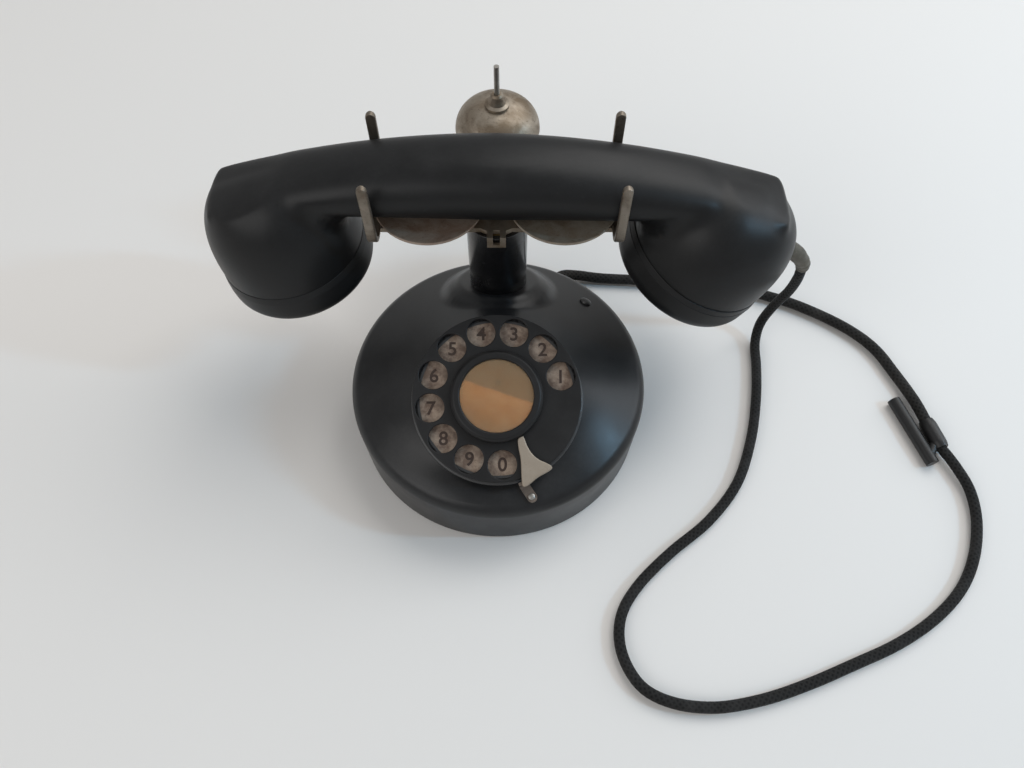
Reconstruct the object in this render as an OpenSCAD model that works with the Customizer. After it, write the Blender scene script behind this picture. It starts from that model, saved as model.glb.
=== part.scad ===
// Desk telephone: a round drum base with a dial, a column with a cradle, and a handset
// that lies across it. Millimetres, +Z up, +X to the right of a person who dials, and the
// origin on the table under the middle of the drum.

/* [Base] */
// Radius of the drum at its widest
base_r = 69.8; // [67:0.1:72]
// Radius of the drum at the table
base_foot_r = 69; // [67:0.1:72]
// Height at which the drum starts to round over
wall_h = 27.4; // [25:0.1:29]
// Radius of the round shoulder
shoulder_r = 7.2; // [6:0.1:8]
// Slope in degrees at which the shoulder runs into the top of the drum
brim_slope = 28; // [26:0.5:30]
// Thickness of the pressed shell
shell_t = 2.4; // [1.8:0.1:3]
// Thickness of the felt under the base
felt_t = 2; // [1.6:0.1:2.6]
// Thickness of the bottom plate
plate_t = 1.6; // [1.2:0.1:2]

/* [Dial] */
// Distance of the dial's middle in front of the drum's middle
dial_y = 22; // [21:0.5:23]
// Height of the dial's middle
dial_z = 49.1; // [48.6:0.1:50]
// Tilt of the dial towards the user in degrees
dial_tilt = 20; // [18:0.5:22]
// Outer radius of the dial's rim
dial_rim_r = 38.1; // [37.8:0.1:38.6]
// Gap between the finger wheel's edge and the outside of the rim
wheel_inset = 1.1; // [0.9:0.1:1.4]
// Thickness of the finger wheel
wheel_t = 1.3; // [1:0.1:1.6]
// Radius of the circle through the finger holes
hole_ring_r = 29.5; // [29:0.1:29.8]
// Radius of a finger hole
hole_r = 6.3; // [5.6:0.05:6.4]
// Angle between two finger holes in degrees
hole_step = 28.5; // [28:0.1:29]
// Angle of the first finger hole above the right-hand side in degrees
first_hole = 18.3; // [16:0.1:20]
// Radius of the round window in the middle
window_r = 16; // [14:0.1:17]
// Teeth on the large gear
gear_teeth = 48; // [44:4:48]
// Teeth on the pulse pinion
pinion_teeth = 12; // [12:1:13]
// Gear module, the tooth size
gear_module = 0.7; // [0.65:0.01:0.7]

/* [Column] */
// Distance of the column behind the drum's middle
stem_y = 43.6; // [43:0.1:44.4]
// Outer radius of the column
stem_r = 13.5; // [12.5:0.1:14]
// Wall of the column
stem_t = 2; // [1.5:0.1:2.4]
// Height of the low collar round the foot of the column
collar_h = 2.4; // [1.6:0.1:3]
// Radius of the sliding rod inside the column
rod_r = 3; // [2.6:0.1:3.4]

/* [Cradle] */
// Height of the saddles that the handset rests in
seat_z = 105; // [103:0.1:107]
// Distance of each fork from the middle
fork_x = 51; // [49:0.5:52]
// Width of the fork strap
fork_w = 4.2; // [3.4:0.1:5]
// Thickness of the fork strap
fork_t = 2.4; // [1.8:0.1:2.8]
// Distance of a prong's outside from the middle of its fork
prong_y = 21.4; // [21.2:0.1:23]
// Height of the prongs above the saddle
prong_h = 29; // [24:0.1:32]
// Radius of each round bowl of the cradle
bowl_r = 23.2; // [21:0.1:23.6]
// Distance of each bowl's middle from the middle of the cradle
bowl_x = 28.4; // [27:0.1:29]
// Depth of a bowl
bowl_d = 5; // [4.6:0.1:5.6]
// Thickness of the bowl metal
bowl_t = 1.2; // [0.9:0.1:1.5]
// Thickness of the cradle's bar
bar_t = 2.5; // [2:0.1:3]

/* [Handset] */
// Half length of the handle, whose ends lie in the two cups
handle_l = 120.5; // [116:0.5:122]
// Thickness of the grip at its middle
grip_t = 27.6; // [26:0.1:29]
// Half depth of the grip at its middle
grip_y = 18.8; // [17:0.1:19]
// Radius of the long arch of the handset's back
arch_r = 318; // [300:1:340]
// Radius of the ear cap
ear_r = 34.6; // [34:0.1:35.4]
// Radius of the receiver cup where it meets its cap
ear_cup_r = 33; // [32.4:0.1:33.6]
// Radius of the mouthpiece
mouth_r = 36; // [35.4:0.1:36.6]
// Radius of the transmitter cup where it meets its cap
mouth_cup_r = 33.2; // [32:0.1:33.6]
// Height of a cap
cap_h = 14; // [13:0.5:15]
// Distance of the middle of the ear cap from the middle of the handset
ear_x = 91.2; // [90:0.1:93]
// Drop of the ear cap's face below the saddles
ear_drop = 44.5; // [43:0.1:46]
// Inward tilt of the ear cap in degrees
ear_tilt = 8.5; // [8:0.5:11]
// Distance of the middle of the mouthpiece from the middle of the handset
mouth_x = 84.8; // [84:0.1:87]
// Drop of the mouthpiece's face below the saddles
mouth_drop = 41.7; // [40:0.1:43]
// Inward tilt of the mouthpiece in degrees
mouth_tilt = 25.5; // [24:0.5:26.5]
// Turn of the handset in its saddles in degrees
handset_turn = -1.2; // [-1.4:0.1:1.4]
// Wall between a cup's outside and its threaded neck
neck_step = 3.2; // [2.8:0.1:3.6]
// Wall of a cup's neck
neck_t = 3.8; // [3:0.1:4.2]

/* [Bell] */
// Distance of the bell behind the column
bell_back = 48; // [47:0.5:52]
// Height of the bell's rim below the saddles
bell_drop = 4.7; // [3:0.1:6]
// Radius of the bell
bell_r = 19.3; // [18:0.1:20]
// Height of the bell
bell_h = 13; // [12:0.5:14.5]
// Thickness of the bell metal
bell_t = 1.4; // [1:0.1:1.6]
// Radius of the bell post
post_r = 1.2; // [1:0.1:1.4]

/* [Cord] */
// Diameter of the cord from the handset
cord_d = 5; // [4.4:0.1:5.6]
// Diameter of the cord from the base
base_cord_d = 5.6; // [5:0.1:6]

/* [Hidden] */
$fn = 96;
// Clearance of a sliding or turning fit, and the gap between pieces that only lie close
fit = 0.1;
gap = 0.3;
BLACK = [0.07, 0.07, 0.08];
NICKEL = [0.55, 0.5, 0.43];
STEEL = [0.6, 0.6, 0.62];
BRASS = [0.72, 0.58, 0.3];
PALE = [0.72, 0.68, 0.6];
BROWN = [0.3, 0.22, 0.14];
AMBER = [0.8, 0.45, 0.16];
FELT = [0.2, 0.24, 0.18];

// --- The drum: a straight wall, a round shoulder, and a top that is lofted from the
// shoulder's upper edge, the brim, to the tilted rim of the dial
foot_z = 1;
shoulder_x = base_r - shoulder_r;
shoulder_turn = 90 - brim_slope;
brim_r = shoulder_x + shoulder_r * cos(shoulder_turn);
brim_z = wall_h + shoulder_r * sin(shoulder_turn);
// The rim of the dial lies on the top's upper edge
rim_t = 0.8;
// A point of the brim, and a point of the upper edge, both moved inwards by t
function brim_point(a, t) = [(brim_r - t * cos(shoulder_turn)) * cos(a),
    (brim_r - t * cos(shoulder_turn)) * sin(a), brim_z - t * sin(shoulder_turn)];
function rim_point(a, t) = let (r = dial_rim_r - t / 2, down = rim_t + 1.15 * t)
    [r * cos(a), -dial_y + r * sin(a) * cos(dial_tilt) + down * sin(dial_tilt),
        dial_z + r * sin(a) * sin(dial_tilt) - down * cos(dial_tilt)];
// A point of the top at azimuth a, u of the way from the brim to the edge: it leaves the
// brim along the shoulder's slope and never humps above the edge
function top_point(a, u, t = 0) = let (b = brim_point(a, t), c = rim_point(a, t),
        inward = (b.x - c.x) * cos(a) + (b.y - c.y) * sin(a),
        mid_z = min(b.z + inward / 2 * tan(brim_slope), c.z))
    [b.x + u * (c.x - b.x), b.y + u * (c.y - b.y),
        (1 - u) * (1 - u) * b.z + 2 * u * (1 - u) * mid_z + u * u * c.z];
// A level ring of radius r at height z
drum_sides = 80;
function level_ring(r, z) = [for (k = [0 : drum_sides - 1]) let (a = -360 * k / drum_sides)
    [r * cos(a), r * sin(a), z]];
function top_ring(u, t = 0) = [for (k = [0 : drum_sides - 1]) top_point(-360 * k / drum_sides, u, t)];
// The drum's outside: foot, wall, shoulder and top
module drum() skin(concat([level_ring(base_foot_r, foot_z)],
    [for (k = [0 : 4]) let (a = shoulder_turn * k / 4)
        level_ring(shoulder_x + shoulder_r * cos(a), wall_h + shoulder_r * sin(a))],
    [for (u = [1 / 4, 1 / 2, 3 / 4, 1]) top_ring(u)]));
// Its hollow: a turned lower part, and an upper part that stands in it
module hollow() {
    low_top = wall_h + (shoulder_r - shell_t) * sin(shoulder_turn);
    rotate_extrude() polygon([[0, foot_z - 1], [base_foot_r - shell_t, foot_z - 1],
        [base_r - shell_t, wall_h], [brim_r, low_top], [0, low_top]]);
    skin([for (u = [0, 1 / 6, 1 / 2, 1])
        u > 0 ? top_ring(u, shell_t) : level_ring(brim_r - 8, low_top - 4)]);
}
// Places children on the drum's top, +Z out of it and +X downhill
module on_top(a, u) {
    du = top_point(a, u + 0.01) - top_point(a, u - 0.01);
    da = top_point(a + 1, u) - top_point(a - 1, u);
    out = unit(cross(da, du));
    translate(top_point(a, u)) rotate([0, acos(out.z), atan2(out.y, out.x)]) children();
}

// --- The base's inside
plate_z = felt_t;
plate_top = plate_z + plate_t;
plate_r = base_foot_r - shell_t - gap;
lug_r = 3.6;
lug_ring = 61;
lug_turns = [30, 150, 270];
screw_r = 1.4;
screw_head_r = 2.9;
screw_head_h = 1.6;
screw_l = 8;
bush_turn = 68;
bush_z = 8.5;
bush_r = 4.2;
bush_out = 75;

// --- The dial, in its own frame: z = 0 is the front of the rim
rim_wall = 1.9;
case_r = dial_rim_r - rim_wall;
module at_dial() translate([0, -dial_y, dial_z]) rotate([dial_tilt, 0, 0]) children();
wheel_r = dial_rim_r - wheel_inset;
wheel_z = 6;
wheel_lip_z = 4.9;
wheel_top = wheel_z + wheel_t;
plate_seat_z = 3;
number_plate_t = 0.6;
number_plate_r = case_r - 1.2;
case_step_r = number_plate_r - 1.4;
gear_plate_r = case_step_r - fit;
gear_plate_t = 1.5;
gear_plate_z = -6;
case_low_r = gear_plate_r - 1.4;
case_floor_z = -21.5;
case_floor_t = 1.5;
shaft_r = 2.5;
bush_wall = 1.5;
gear_t = 1.5;
gear_z = -10;
gear_mesh = gear_module * (gear_teeth + pinion_teeth) / 2;
fine_module = 0.5;
fine_teeth = 36;
fine_pinion_teeth = 12;
fine_mesh = fine_module * (fine_teeth + fine_pinion_teeth) / 2;
fine_gear_z = -13;
governor_turn = -100;
spindle_r = 1.2;
governor_spindle_r = 0.9;
cam_z = -16.5;
cam_t = 2;
cam_r = 5;
barrel_r = 10.5;
barrel_top = -12.2;
module at_pulse() at_dial() translate([-gear_mesh, 0, 0]) children();
module at_governor() at_pulse() rotate([0, 0, governor_turn]) translate([fine_mesh, 0, 0]) children();

// --- The window in the middle of the finger wheel
card_ring_r = window_r + 4.2;
card_lip = 1.2;
card_z = wheel_top + 1.7;
card_t = 0.4;
window_z = card_z + card_t;
window_edge_t = 1.4;
window_crown = 1.4;
card_ring_top = window_z + window_edge_t + 1.1;

// --- The column
back_rise = top_point(90, 1) - top_point(90, 0);
back_slope = atan2(back_rise.z, -back_rise.y);
stem_foot = top_point(90, 0).z + (top_point(90, 0).y - stem_y) * tan(back_slope);
collar_r = stem_r + 5.3;
collar_skirt = 13;
sleeve_r = stem_r + 4.9;
sleeve_bottom = stem_foot - sleeve_r * tan(back_slope) - shell_t - 1;
stem_nut_h = 4;
nut_room = 1.6;
stem_bottom = sleeve_bottom - stem_nut_h;
guide_h = [8, 4];
guide_r = stem_r - stem_t - fit;
low_guide_z = 40;

// --- The cradle: a bar, two round bowls on it and two U-shaped forks
bar_top = seat_z - bowl_d - bowl_t;
bar_bottom = bar_top - bar_t;
stem_top = bar_bottom - gap;
bar_y = 10;
hub_r = 12;
fork_bend = 5;
tongue_w = 8;
tongue_slot = 3;
tongue_t = 1.4;
tongue_y = stem_r + gap + 0.1;
tongue_h = 6.3;
rod_neck_r = 2;
rod_bottom = 25;
rod_collar_r = 8.5;
rod_collar_z = 68;
spring_r = 6.5;
spring_wire_r = 0.6;
spring_turns = 6;
spring_foot = low_guide_z + guide_h[1];

// --- The handset lies on the saddles
grip_bottom = seat_z + gap;
grip_top = grip_bottom + grip_t;
ear_z = seat_z - ear_drop;
mouth_z = seat_z - mouth_drop;
cup_roundness = 2;
ear_cup_h = 66;
mouth_cup_h = 63;
crown_of_back = 34;
crown_depth = 26;
cap_face = 5.4;
diaphragm_t = 0.4;
neck_z = cap_face + diaphragm_t + 0.2;
ear_depth = 24;
mouth_depth = 20;
elbow_s = 32;
elbow_out = 32.5;
elbow_seat_r = 6.6;
elbow_pin_r = 3;
module at_handset() translate([0, stem_y, 0]) rotate([0, 0, handset_turn]) children();
module at_ear() at_handset() translate([-ear_x, 0, ear_z]) rotate([0, -ear_tilt, 0]) children();
module at_mouth() at_handset() translate([mouth_x, 0, mouth_z]) rotate([0, mouth_tilt, 0]) children();

// --- The bell behind the column
bell_y = stem_y + bell_back;
bell_z = seat_z - bell_drop;
clamp_h = 10;
clamp_top = stem_top - 2;
clamp_t = 2.6;
saddle_y = 9;
arm_t = 2.4;
post_top = 134;
nut_r = 5.4;
nut_h = 6.5;

// Route of the cord from the handset's elbow, along the table, to the clip
cord_z = 2.8;
HANDSET_ROUTE = [[142.6, 41.4, 62], [143.8, 42.4, 52], [144.2, 45, 38], [141.5, 47, 23], [137.5, 44.5, 10],
    [135.2, 36, 3.4], [134, 22, cord_z], [131, 3, cord_z], [125, -20, cord_z], [115, -43, cord_z],
    [99, -62, cord_z], [80, -77, cord_z], [64, -92, cord_z], [55, -106, cord_z],
    [54, -121, cord_z], [61, -135, cord_z], [74, -142, cord_z], [92, -144, cord_z],
    [112, -141, cord_z], [132, -135, cord_z], [153, -127, cord_z], [175, -118, cord_z],
    [194, -107, cord_z], [209, -94, cord_z], [219, -79, cord_z], [225, -62, cord_z],
    [226, -47, 3], [222.4, -35, 3.6], [217.6, -25, 4]];
// Route of the cord from the clip, behind the handset, to the bush in the drum
BASE_ROUTE = [[213.6, -10, 4], [211, 2, 3.4], [205, 18, 3], [198, 33, 3], [187, 45, 3], [171, 56, 3],
    [153, 65, 3], [130, 72, 3], [104, 76, 3], [78, 78, 3], [56, 79.4, 3], [42, 80.4, 4.4],
    [33.4, 77.6, 7.4], [28.1, 69.54, 8.5]];
clip_r = 4;
clip_z = 4;

// --- General shapes
function unit(v) = v / norm(v);
// A closed skin over rings of points, the first and the last ring closed flat
module skin(rings) {
    n = len(rings[0]);
    last = len(rings) - 1;
    polyhedron(points = [for (ring = rings, p = ring) p], convexity = 6, faces = concat(
        [[for (k = [n - 1 : -1 : 0]) k], [for (k = [0 : n - 1]) last * n + k]],
        [for (i = [0 : last - 1], k = [0 : n - 1]) [i * n + k, i * n + (k + 1) % n, (i + 1) * n + k]],
        [for (i = [0 : last - 1], k = [0 : n - 1])
            [i * n + (k + 1) % n, (i + 1) * n + (k + 1) % n, (i + 1) * n + k]]));
}
// Unit tangents of a path that starts along first and ends along final, and side vectors
// that turn as little as they can
function tangents(p, first, final) = concat([unit(first)],
    [for (i = [1 : len(p) - 2]) unit(p[i + 1] - p[i - 1])], [unit(final)]);
function sides_of(ts, i, u) = i == len(ts) ? [] :
    let (v = unit(u - (u * ts[i]) * ts[i])) concat([v], sides_of(ts, i + 1, v));
// A round tube along path, radii[i] at its point i
module sweep(path, radii, sides, first, final) {
    ts = tangents(path, first, final);
    us = sides_of(ts, 0, abs(ts[0].z) < 0.9 ? [0, 0, 1] : [0, 1, 0]);
    skin([for (i = [0 : len(path) - 1]) [for (k = [0 : sides - 1]) let (a = 360 * (k + 0.5) / sides)
        path[i] + radii[i] * (cos(a) * us[i] + sin(a) * cross(us[i], ts[i]))]]);
}
// A smooth curve through every point of p, n steps to each of them
function smooth(p, n) = concat([for (i = [0 : len(p) - 2], j = [0 : n - 1])
    let (t = j / n, a = p[max(i - 1, 0)], b = p[i], c = p[i + 1], d = p[min(i + 2, len(p) - 1)])
    b + t * (c - a) / 2 + t * t * (a - 2.5 * b + 2 * c - d / 2)
        + t * t * t * (-a + 3 * b - 3 * c + d) / 2], [p[len(p) - 1]]);
// Involute gear outline; the flanks stand back from the pitch line by backlash
pressure = 20;
backlash = 0.12;
function inv(a) = tan(a) * 180 / PI - a;
function flank(r, m, teeth) =
    let (pitch = m * teeth / 2, base = pitch * cos(pressure))
    90 / teeth - (backlash / 2 / pitch) * 180 / PI + inv(pressure) - inv(acos(min(1, base / r)));
function gear_outline(m, teeth) =
    let (pitch = m * teeth / 2, radii = [pitch - 1.25 * m, pitch - 0.35 * m, pitch + 0.2 * m, pitch + 0.85 * m])
    [for (k = [0 : teeth - 1], s = [-1, 1], j = [0 : 3])
        let (r = radii[s < 0 ? j : 3 - j], a = 360 * k / teeth + s * flank(r, m, teeth))
        [r * cos(a), r * sin(a)]];
module gear(m, teeth, h, bore = 0) linear_extrude(h) difference() {
    polygon(gear_outline(m, teeth));
    if (bore > 0) circle(bore);
}
module ring(r_out, r_in, h) linear_extrude(h) difference() {
    circle(r_out);
    circle(r_in);
}
// A screw with a domed head: its head sits on z = 0 and its shank goes down
module screw(head_r, head_h, shank_r, shank_l) {
    rotate_extrude() polygon(concat([[0, -shank_l], [shank_r, -shank_l], [shank_r, 0], [head_r, 0]],
        [for (a = [15 : 25 : 90]) [head_r * cos(a), head_h * (0.35 + 0.65 * sin(a))]]));
}
module rounded_rect(x, y, r) {
    square([x, y - 2 * r], center = true);
    square([x - 2 * r, y], center = true);
    for (i = [-1, 1], j = [-1, 1]) translate([i * (x / 2 - r), j * (y / 2 - r)]) circle(r);
}

// --- Base
// A low collar that lies on the slope round the foot of the column
module stem_collar() translate([0, stem_y, stem_foot]) rotate([-back_slope, 0, 0]) rotate_extrude()
    polygon([[0, -5], [stem_r + collar_skirt, -5], [stem_r + 12.2, -3], [stem_r + 11, -1.2],
        [stem_r + 9.8, 0], [stem_r + 8.6, 0.7], [stem_r + 7.4, 1.3], [stem_r + 6.4, collar_h - 0.5],
        [collar_r + 0.5, collar_h - 0.15], [collar_r, collar_h], [0, collar_h]]);
module base_shell() color(BLACK) difference() {
    union() {
        drum();
        stem_collar();
    }
    // The hollow, with the column's sleeve and three screw lugs left standing in it
    difference() {
        hollow();
        translate([0, stem_y, sleeve_bottom]) cylinder(r = sleeve_r, h = 40);
        for (a = lug_turns) rotate([0, 0, a]) translate([lug_ring, 0, plate_top]) cylinder(r = lug_r, h = 40);
    }
    at_dial() rotate([0, 0, 7]) translate([0, 0, -40]) cylinder(r = case_r + fit, h = 45);
    // Room for the nut and a spanner round it
    translate([0, stem_y, stem_bottom - 1]) cylinder(r = sleeve_r + nut_room, h = stem_nut_h + 1);
    translate([0, stem_y, 0]) cylinder(r = stem_r + fit, h = stem_top);
    for (a = lug_turns) rotate([0, 0, a]) translate([lug_ring, 0, plate_top - 1])
        cylinder(r = screw_r + fit, h = screw_l + 2);
    on_top(dome_screw_turn, dome_screw_at) translate([0, 0, -8]) cylinder(r = screw_r + fit, h = 10);
    on_top(tab_turn, tab_at) rotate([0, 0, tab_angle]) translate([tab_screw, 0, -6])
        cylinder(r = stop_screw_r + fit, h = 8, $fn = 24);
    rotate([0, 0, bush_turn]) translate([base_foot_r - 8, 0, bush_z]) rotate([0, 90, 0])
        cylinder(r = bush_r + fit, h = 12);
}

module base_plate() color(STEEL) difference() {
    translate([0, 0, plate_z]) cylinder(r = plate_r, h = plate_t);
    for (a = lug_turns) rotate([0, 0, a]) translate([lug_ring, 0, 0]) cylinder(r = screw_r + fit, h = 10);
}

module felt_disc() color(FELT) difference() {
    cylinder(r = plate_r - gap, h = felt_t);
    for (a = lug_turns) rotate([0, 0, a]) translate([lug_ring, 0, -1])
        cylinder(r = screw_head_r + gap, h = felt_t + 2);
}

module base_screws() color(STEEL)
    for (a = lug_turns) rotate([0, 0, a]) translate([lug_ring, 0, plate_z]) mirror([0, 0, 1])
        screw(screw_head_r, screw_head_h, screw_r, screw_l);

dome_screw_turn = 45;
dome_screw_at = 0.2;
module dome_screw() color(BLACK) on_top(dome_screw_turn, dome_screw_at)
    screw(screw_head_r, 1.2, screw_r, 5);

module stem_tube() color(BLACK) translate([0, stem_y, stem_bottom])
    ring(stem_r, stem_r - stem_t, stem_top - stem_bottom);

module stem_nut() color(STEEL) translate([0, stem_y, stem_bottom]) difference() {
    cylinder(r = sleeve_r, h = stem_nut_h, $fn = 6);
    translate([0, 0, -1]) cylinder(r = stem_r + fit, h = stem_nut_h + 2);
}

module rod_guides() color(BRASS) translate([0, stem_y, 0]) {
    translate([0, 0, stem_top - guide_h[0]]) ring(guide_r, rod_r + fit, guide_h[0]);
    translate([0, 0, low_guide_z]) ring(guide_r, rod_r + fit, guide_h[1]);
}

module switch_frame() color(STEEL) translate([0, stem_y, plate_top]) {
    translate([-9, 0, 0]) cube([18, 16, 1.6]);
    translate([-5, 12, 0]) cube([10, 2.4, stem_bottom - plate_top - 4]);
}

module switch_springs() color(BRASS) translate([0, stem_y, 0]) {
    translate([-4, 7, rod_bottom - 6.5]) cube([8, 5, 6]);
    for (z = [rod_bottom - 5, rod_bottom - 1.4]) translate([-2.5, -6, z]) cube([5, 14, 0.5]);
}

module terminal_block() color(BLACK) translate([-30, 34, plate_top]) difference() {
    linear_extrude(10) rounded_rect(30, 12, 2);
    for (x = [-10 : 6.7 : 11]) translate([x, 0, 2]) cylinder(r = screw_r + fit, h = 9, $fn = 24);
}
module terminal_screws() color(BRASS) for (x = [-10 : 6.7 : 11])
    translate([-30 + x, 34, plate_top + 10]) screw(2.6, 1.4, screw_r, 6, $fn = 24);

module cord_bush() color(BLACK) rotate([0, 0, bush_turn]) translate([0, 0, bush_z]) rotate([0, 90, 0])
    rotate_extrude() polygon([[0, base_foot_r - 4], [bush_r, base_foot_r - 4],
        [bush_r, base_foot_r + 0.4], [bush_r + 1.4, base_foot_r + 0.6], [bush_r + 1.4, base_foot_r + 2],
        [bush_r - 0.2, base_foot_r + 2.6], [base_cord_d / 2 + 0.7, bush_out], [0, bush_out]]);

// --- Dial, fixed parts
module dial_case() color(BLACK) at_dial() difference() {
    rotate_extrude() polygon(concat(
        [[0, case_floor_z - case_floor_t], [case_r - 1, case_floor_z - case_floor_t],
         [case_r, case_floor_z - case_floor_t + 1], [case_r, -rim_t], [dial_rim_r, -rim_t]],
        [for (a = [0 : 30 : 90]) [dial_rim_r - 0.6 + 0.6 * cos(a), -0.6 + 0.6 * sin(a)]],
        [[wheel_r - 0.6, 0.4], [wheel_r - 0.6, plate_seat_z + 1.2], [number_plate_r + fit, plate_seat_z + 1.2],
         [number_plate_r + fit, plate_seat_z], [case_step_r, plate_seat_z], [case_step_r, gear_plate_z],
         [case_low_r, gear_plate_z], [case_low_r, case_floor_z], [0, case_floor_z]]));
    translate([-gear_mesh, 0, case_floor_z - 3]) cylinder(r = spindle_r + fit, h = 6, $fn = 24);
    translate([-gear_mesh, 0, 0]) rotate([0, 0, governor_turn]) translate([fine_mesh, 0, case_floor_z - 3])
        cylinder(r = governor_spindle_r + fit, h = 6, $fn = 24);
}

module gear_plate() color(BRASS) at_dial() translate([0, 0, gear_plate_z]) difference() {
    cylinder(r = gear_plate_r, h = gear_plate_t);
    translate([0, 0, -1]) cylinder(r = shaft_r + fit + bush_wall + fit, h = 4);
    translate([-gear_mesh, 0, -1]) cylinder(r = spindle_r + fit, h = 4, $fn = 24);
    translate([-gear_mesh, 0, 0]) rotate([0, 0, governor_turn]) translate([fine_mesh, 0, -1])
        cylinder(r = governor_spindle_r + fit, h = 4, $fn = 24);
}

module dial_bush() color(BRASS) at_dial() rotate_extrude() polygon([
    [shaft_r + fit, gear_plate_z - 2], [shaft_r + fit + bush_wall, gear_plate_z - 2],
    [shaft_r + fit + bush_wall, gear_plate_z + gear_plate_t], [shaft_r + 3.4, gear_plate_z + gear_plate_t],
    [shaft_r + 3.4, gear_plate_z + gear_plate_t + 1], [shaft_r + fit, gear_plate_z + gear_plate_t + 1]]);

module number_plate() color(PALE) at_dial() translate([0, 0, plate_seat_z])
    ring(number_plate_r, card_ring_r - 0.5, number_plate_t);

// Outline of the finger stop's horn, in the dial's frame
STOP = [[11.3, -17.7], [12, -19.4], [13.2, -22.3], [15.3, -25.4], [18, -27.6], [21, -29], [23.3, -30.4],
    [22.6, -31.8], [17.4, -34.8], [14, -37.6], [11.6, -38.6], [11, -36], [10.6, -27.5], [9.6, -22],
    [9.5, -18.7]];
stop_z = wheel_top + 1.3;
stop_t = 1.2;
leg_turn = -73;
tab_turn = -75;
tab_at = 0.5;
tab_angle = 30;
tab_in = 3.2;
tab_out = 3.4;
tab_w = 4.4;
tab_t = 1.2;
tab_screw = 3;
stop_screw_r = 0.8;
module finger_stop() color(STEEL) difference() {
    union() {
        at_dial() {
            translate([0, 0, stop_z]) linear_extrude(stop_t) polygon(STOP);
            // Leg beside the dial's rim
            rotate([0, 0, leg_turn]) translate([dial_rim_r + gap, -2, 0])
                cube([1.4, 4, stop_z + stop_t / 2]);
        }
        on_top(tab_turn, tab_at) rotate([0, 0, tab_angle]) {
            translate([-tab_in, -tab_w / 2, 0]) cube([tab_in + tab_out, tab_w, tab_t]);
            translate([tab_out, 0, 0]) cylinder(r = tab_w / 2, h = tab_t, $fn = 32);
        }
    }
    on_top(tab_turn, tab_at) rotate([0, 0, tab_angle]) translate([tab_screw, 0, -1])
        cylinder(r = stop_screw_r + fit, h = 6, $fn = 24);
}
module stop_screw() color(STEEL) on_top(tab_turn, tab_at) rotate([0, 0, tab_angle])
    translate([tab_screw, 0, tab_t]) screw(1.5, 0.7, stop_screw_r, 4, $fn = 24);

module pulse_springs() color(BRASS) at_pulse() {
    translate([5.2, cam_r - 0.2, case_floor_z]) cube([3.6, 5, fine_gear_z - gap - case_floor_z]);
    for (y = [cam_r + 0.6, cam_r + 2.4]) translate([-6, y, cam_z]) cube([12, 0.4, cam_t]);
}

module spring_barrel() color(STEEL) at_dial() translate([0, 0, case_floor_z])
    ring(barrel_r, shaft_r + gap, barrel_top - case_floor_z);

// --- Dial, turning parts
module finger_wheel() color(BLACK) at_dial() difference() {
    rotate_extrude() polygon([[shaft_r + fit, wheel_z], [wheel_r - 1.1, wheel_z], [wheel_r - 1.1, wheel_lip_z],
        [wheel_r, wheel_lip_z], [wheel_r, wheel_top - 0.6], [wheel_r - 0.6, wheel_top],
        [shaft_r + fit, wheel_top]]);
    for (k = [0 : 9]) rotate([0, 0, first_hole + k * hole_step]) translate([hole_ring_r, 0, 0])
        cylinder(r = hole_r, h = 10);
}

module card_ring() color(BLACK) at_dial() rotate_extrude() polygon([
    [shaft_r + 2, wheel_top], [card_ring_r - 0.8, wheel_top], [card_ring_r, wheel_top + 0.8],
    [card_ring_r, card_ring_top - 1.4], [card_ring_r - 1.4, card_ring_top], [window_r + 0.5, card_ring_top],
    [window_r, card_ring_top - 0.5], [window_r, card_ring_top - 1], [window_r + card_lip, card_ring_top - 1],
    [window_r + card_lip, card_z], [shaft_r + 2, card_z]]);

module number_card() color(AMBER) at_dial() translate([0, 0, card_z])
    cylinder(r = window_r + card_lip - 2 * fit, h = card_t);

module card_window() color(AMBER) at_dial() translate([0, 0, window_z]) rotate_extrude() polygon(concat(
    [[0, 0], [window_r + card_lip - 2 * fit, 0], [window_r + card_lip - 2 * fit, window_edge_t - 0.1]],
    [for (k = [0 : 6]) let (r = (window_r - fit) * (1 - k / 6))
        [r, window_edge_t - 0.1 + window_crown * (1 - pow(r / (window_r - fit), 2))]]));

module dial_shaft() color(STEEL) at_dial() rotate_extrude() polygon([[0, case_floor_z],
    [shaft_r, case_floor_z], [shaft_r, wheel_lip_z - 0.1], [10, wheel_lip_z - 0.1], [10, wheel_z],
    [shaft_r, wheel_z], [shaft_r, card_z - 0.2], [0, card_z - 0.2]]);

module main_gear() color(BRASS) at_dial() translate([0, 0, gear_z])
    gear(gear_module, gear_teeth, gear_t, shaft_r + fit / 2);

module pulse_pinion() color(STEEL) at_pulse() {
    rotate([0, 0, 180 / pinion_teeth]) translate([0, 0, gear_z]) gear(gear_module, pinion_teeth, gear_t);
    translate([0, 0, case_floor_z - case_floor_t + 0.3]) cylinder(r = spindle_r, h = 17.3, $fn = 24);
    translate([0, 0, fine_gear_z + 1]) cylinder(r = 2.4, h = gear_z - fine_gear_z - 1, $fn = 24);
}

module pulse_cam() color(BRASS) at_pulse() {
    translate([0, 0, fine_gear_z]) gear(fine_module, fine_teeth, 1, spindle_r + fit / 2);
    translate([0, 0, cam_z]) linear_extrude(fine_gear_z - cam_z) difference() {
        circle(cam_r - 2);
        circle(spindle_r + fit / 2);
    }
    translate([0, 0, cam_z]) linear_extrude(cam_t) difference() {
        circle(cam_r);
        for (a = [0, 120, 240]) rotate(a) translate([cam_r, 0]) circle(1.6);
        circle(spindle_r + fit / 2);
    }
}

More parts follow.
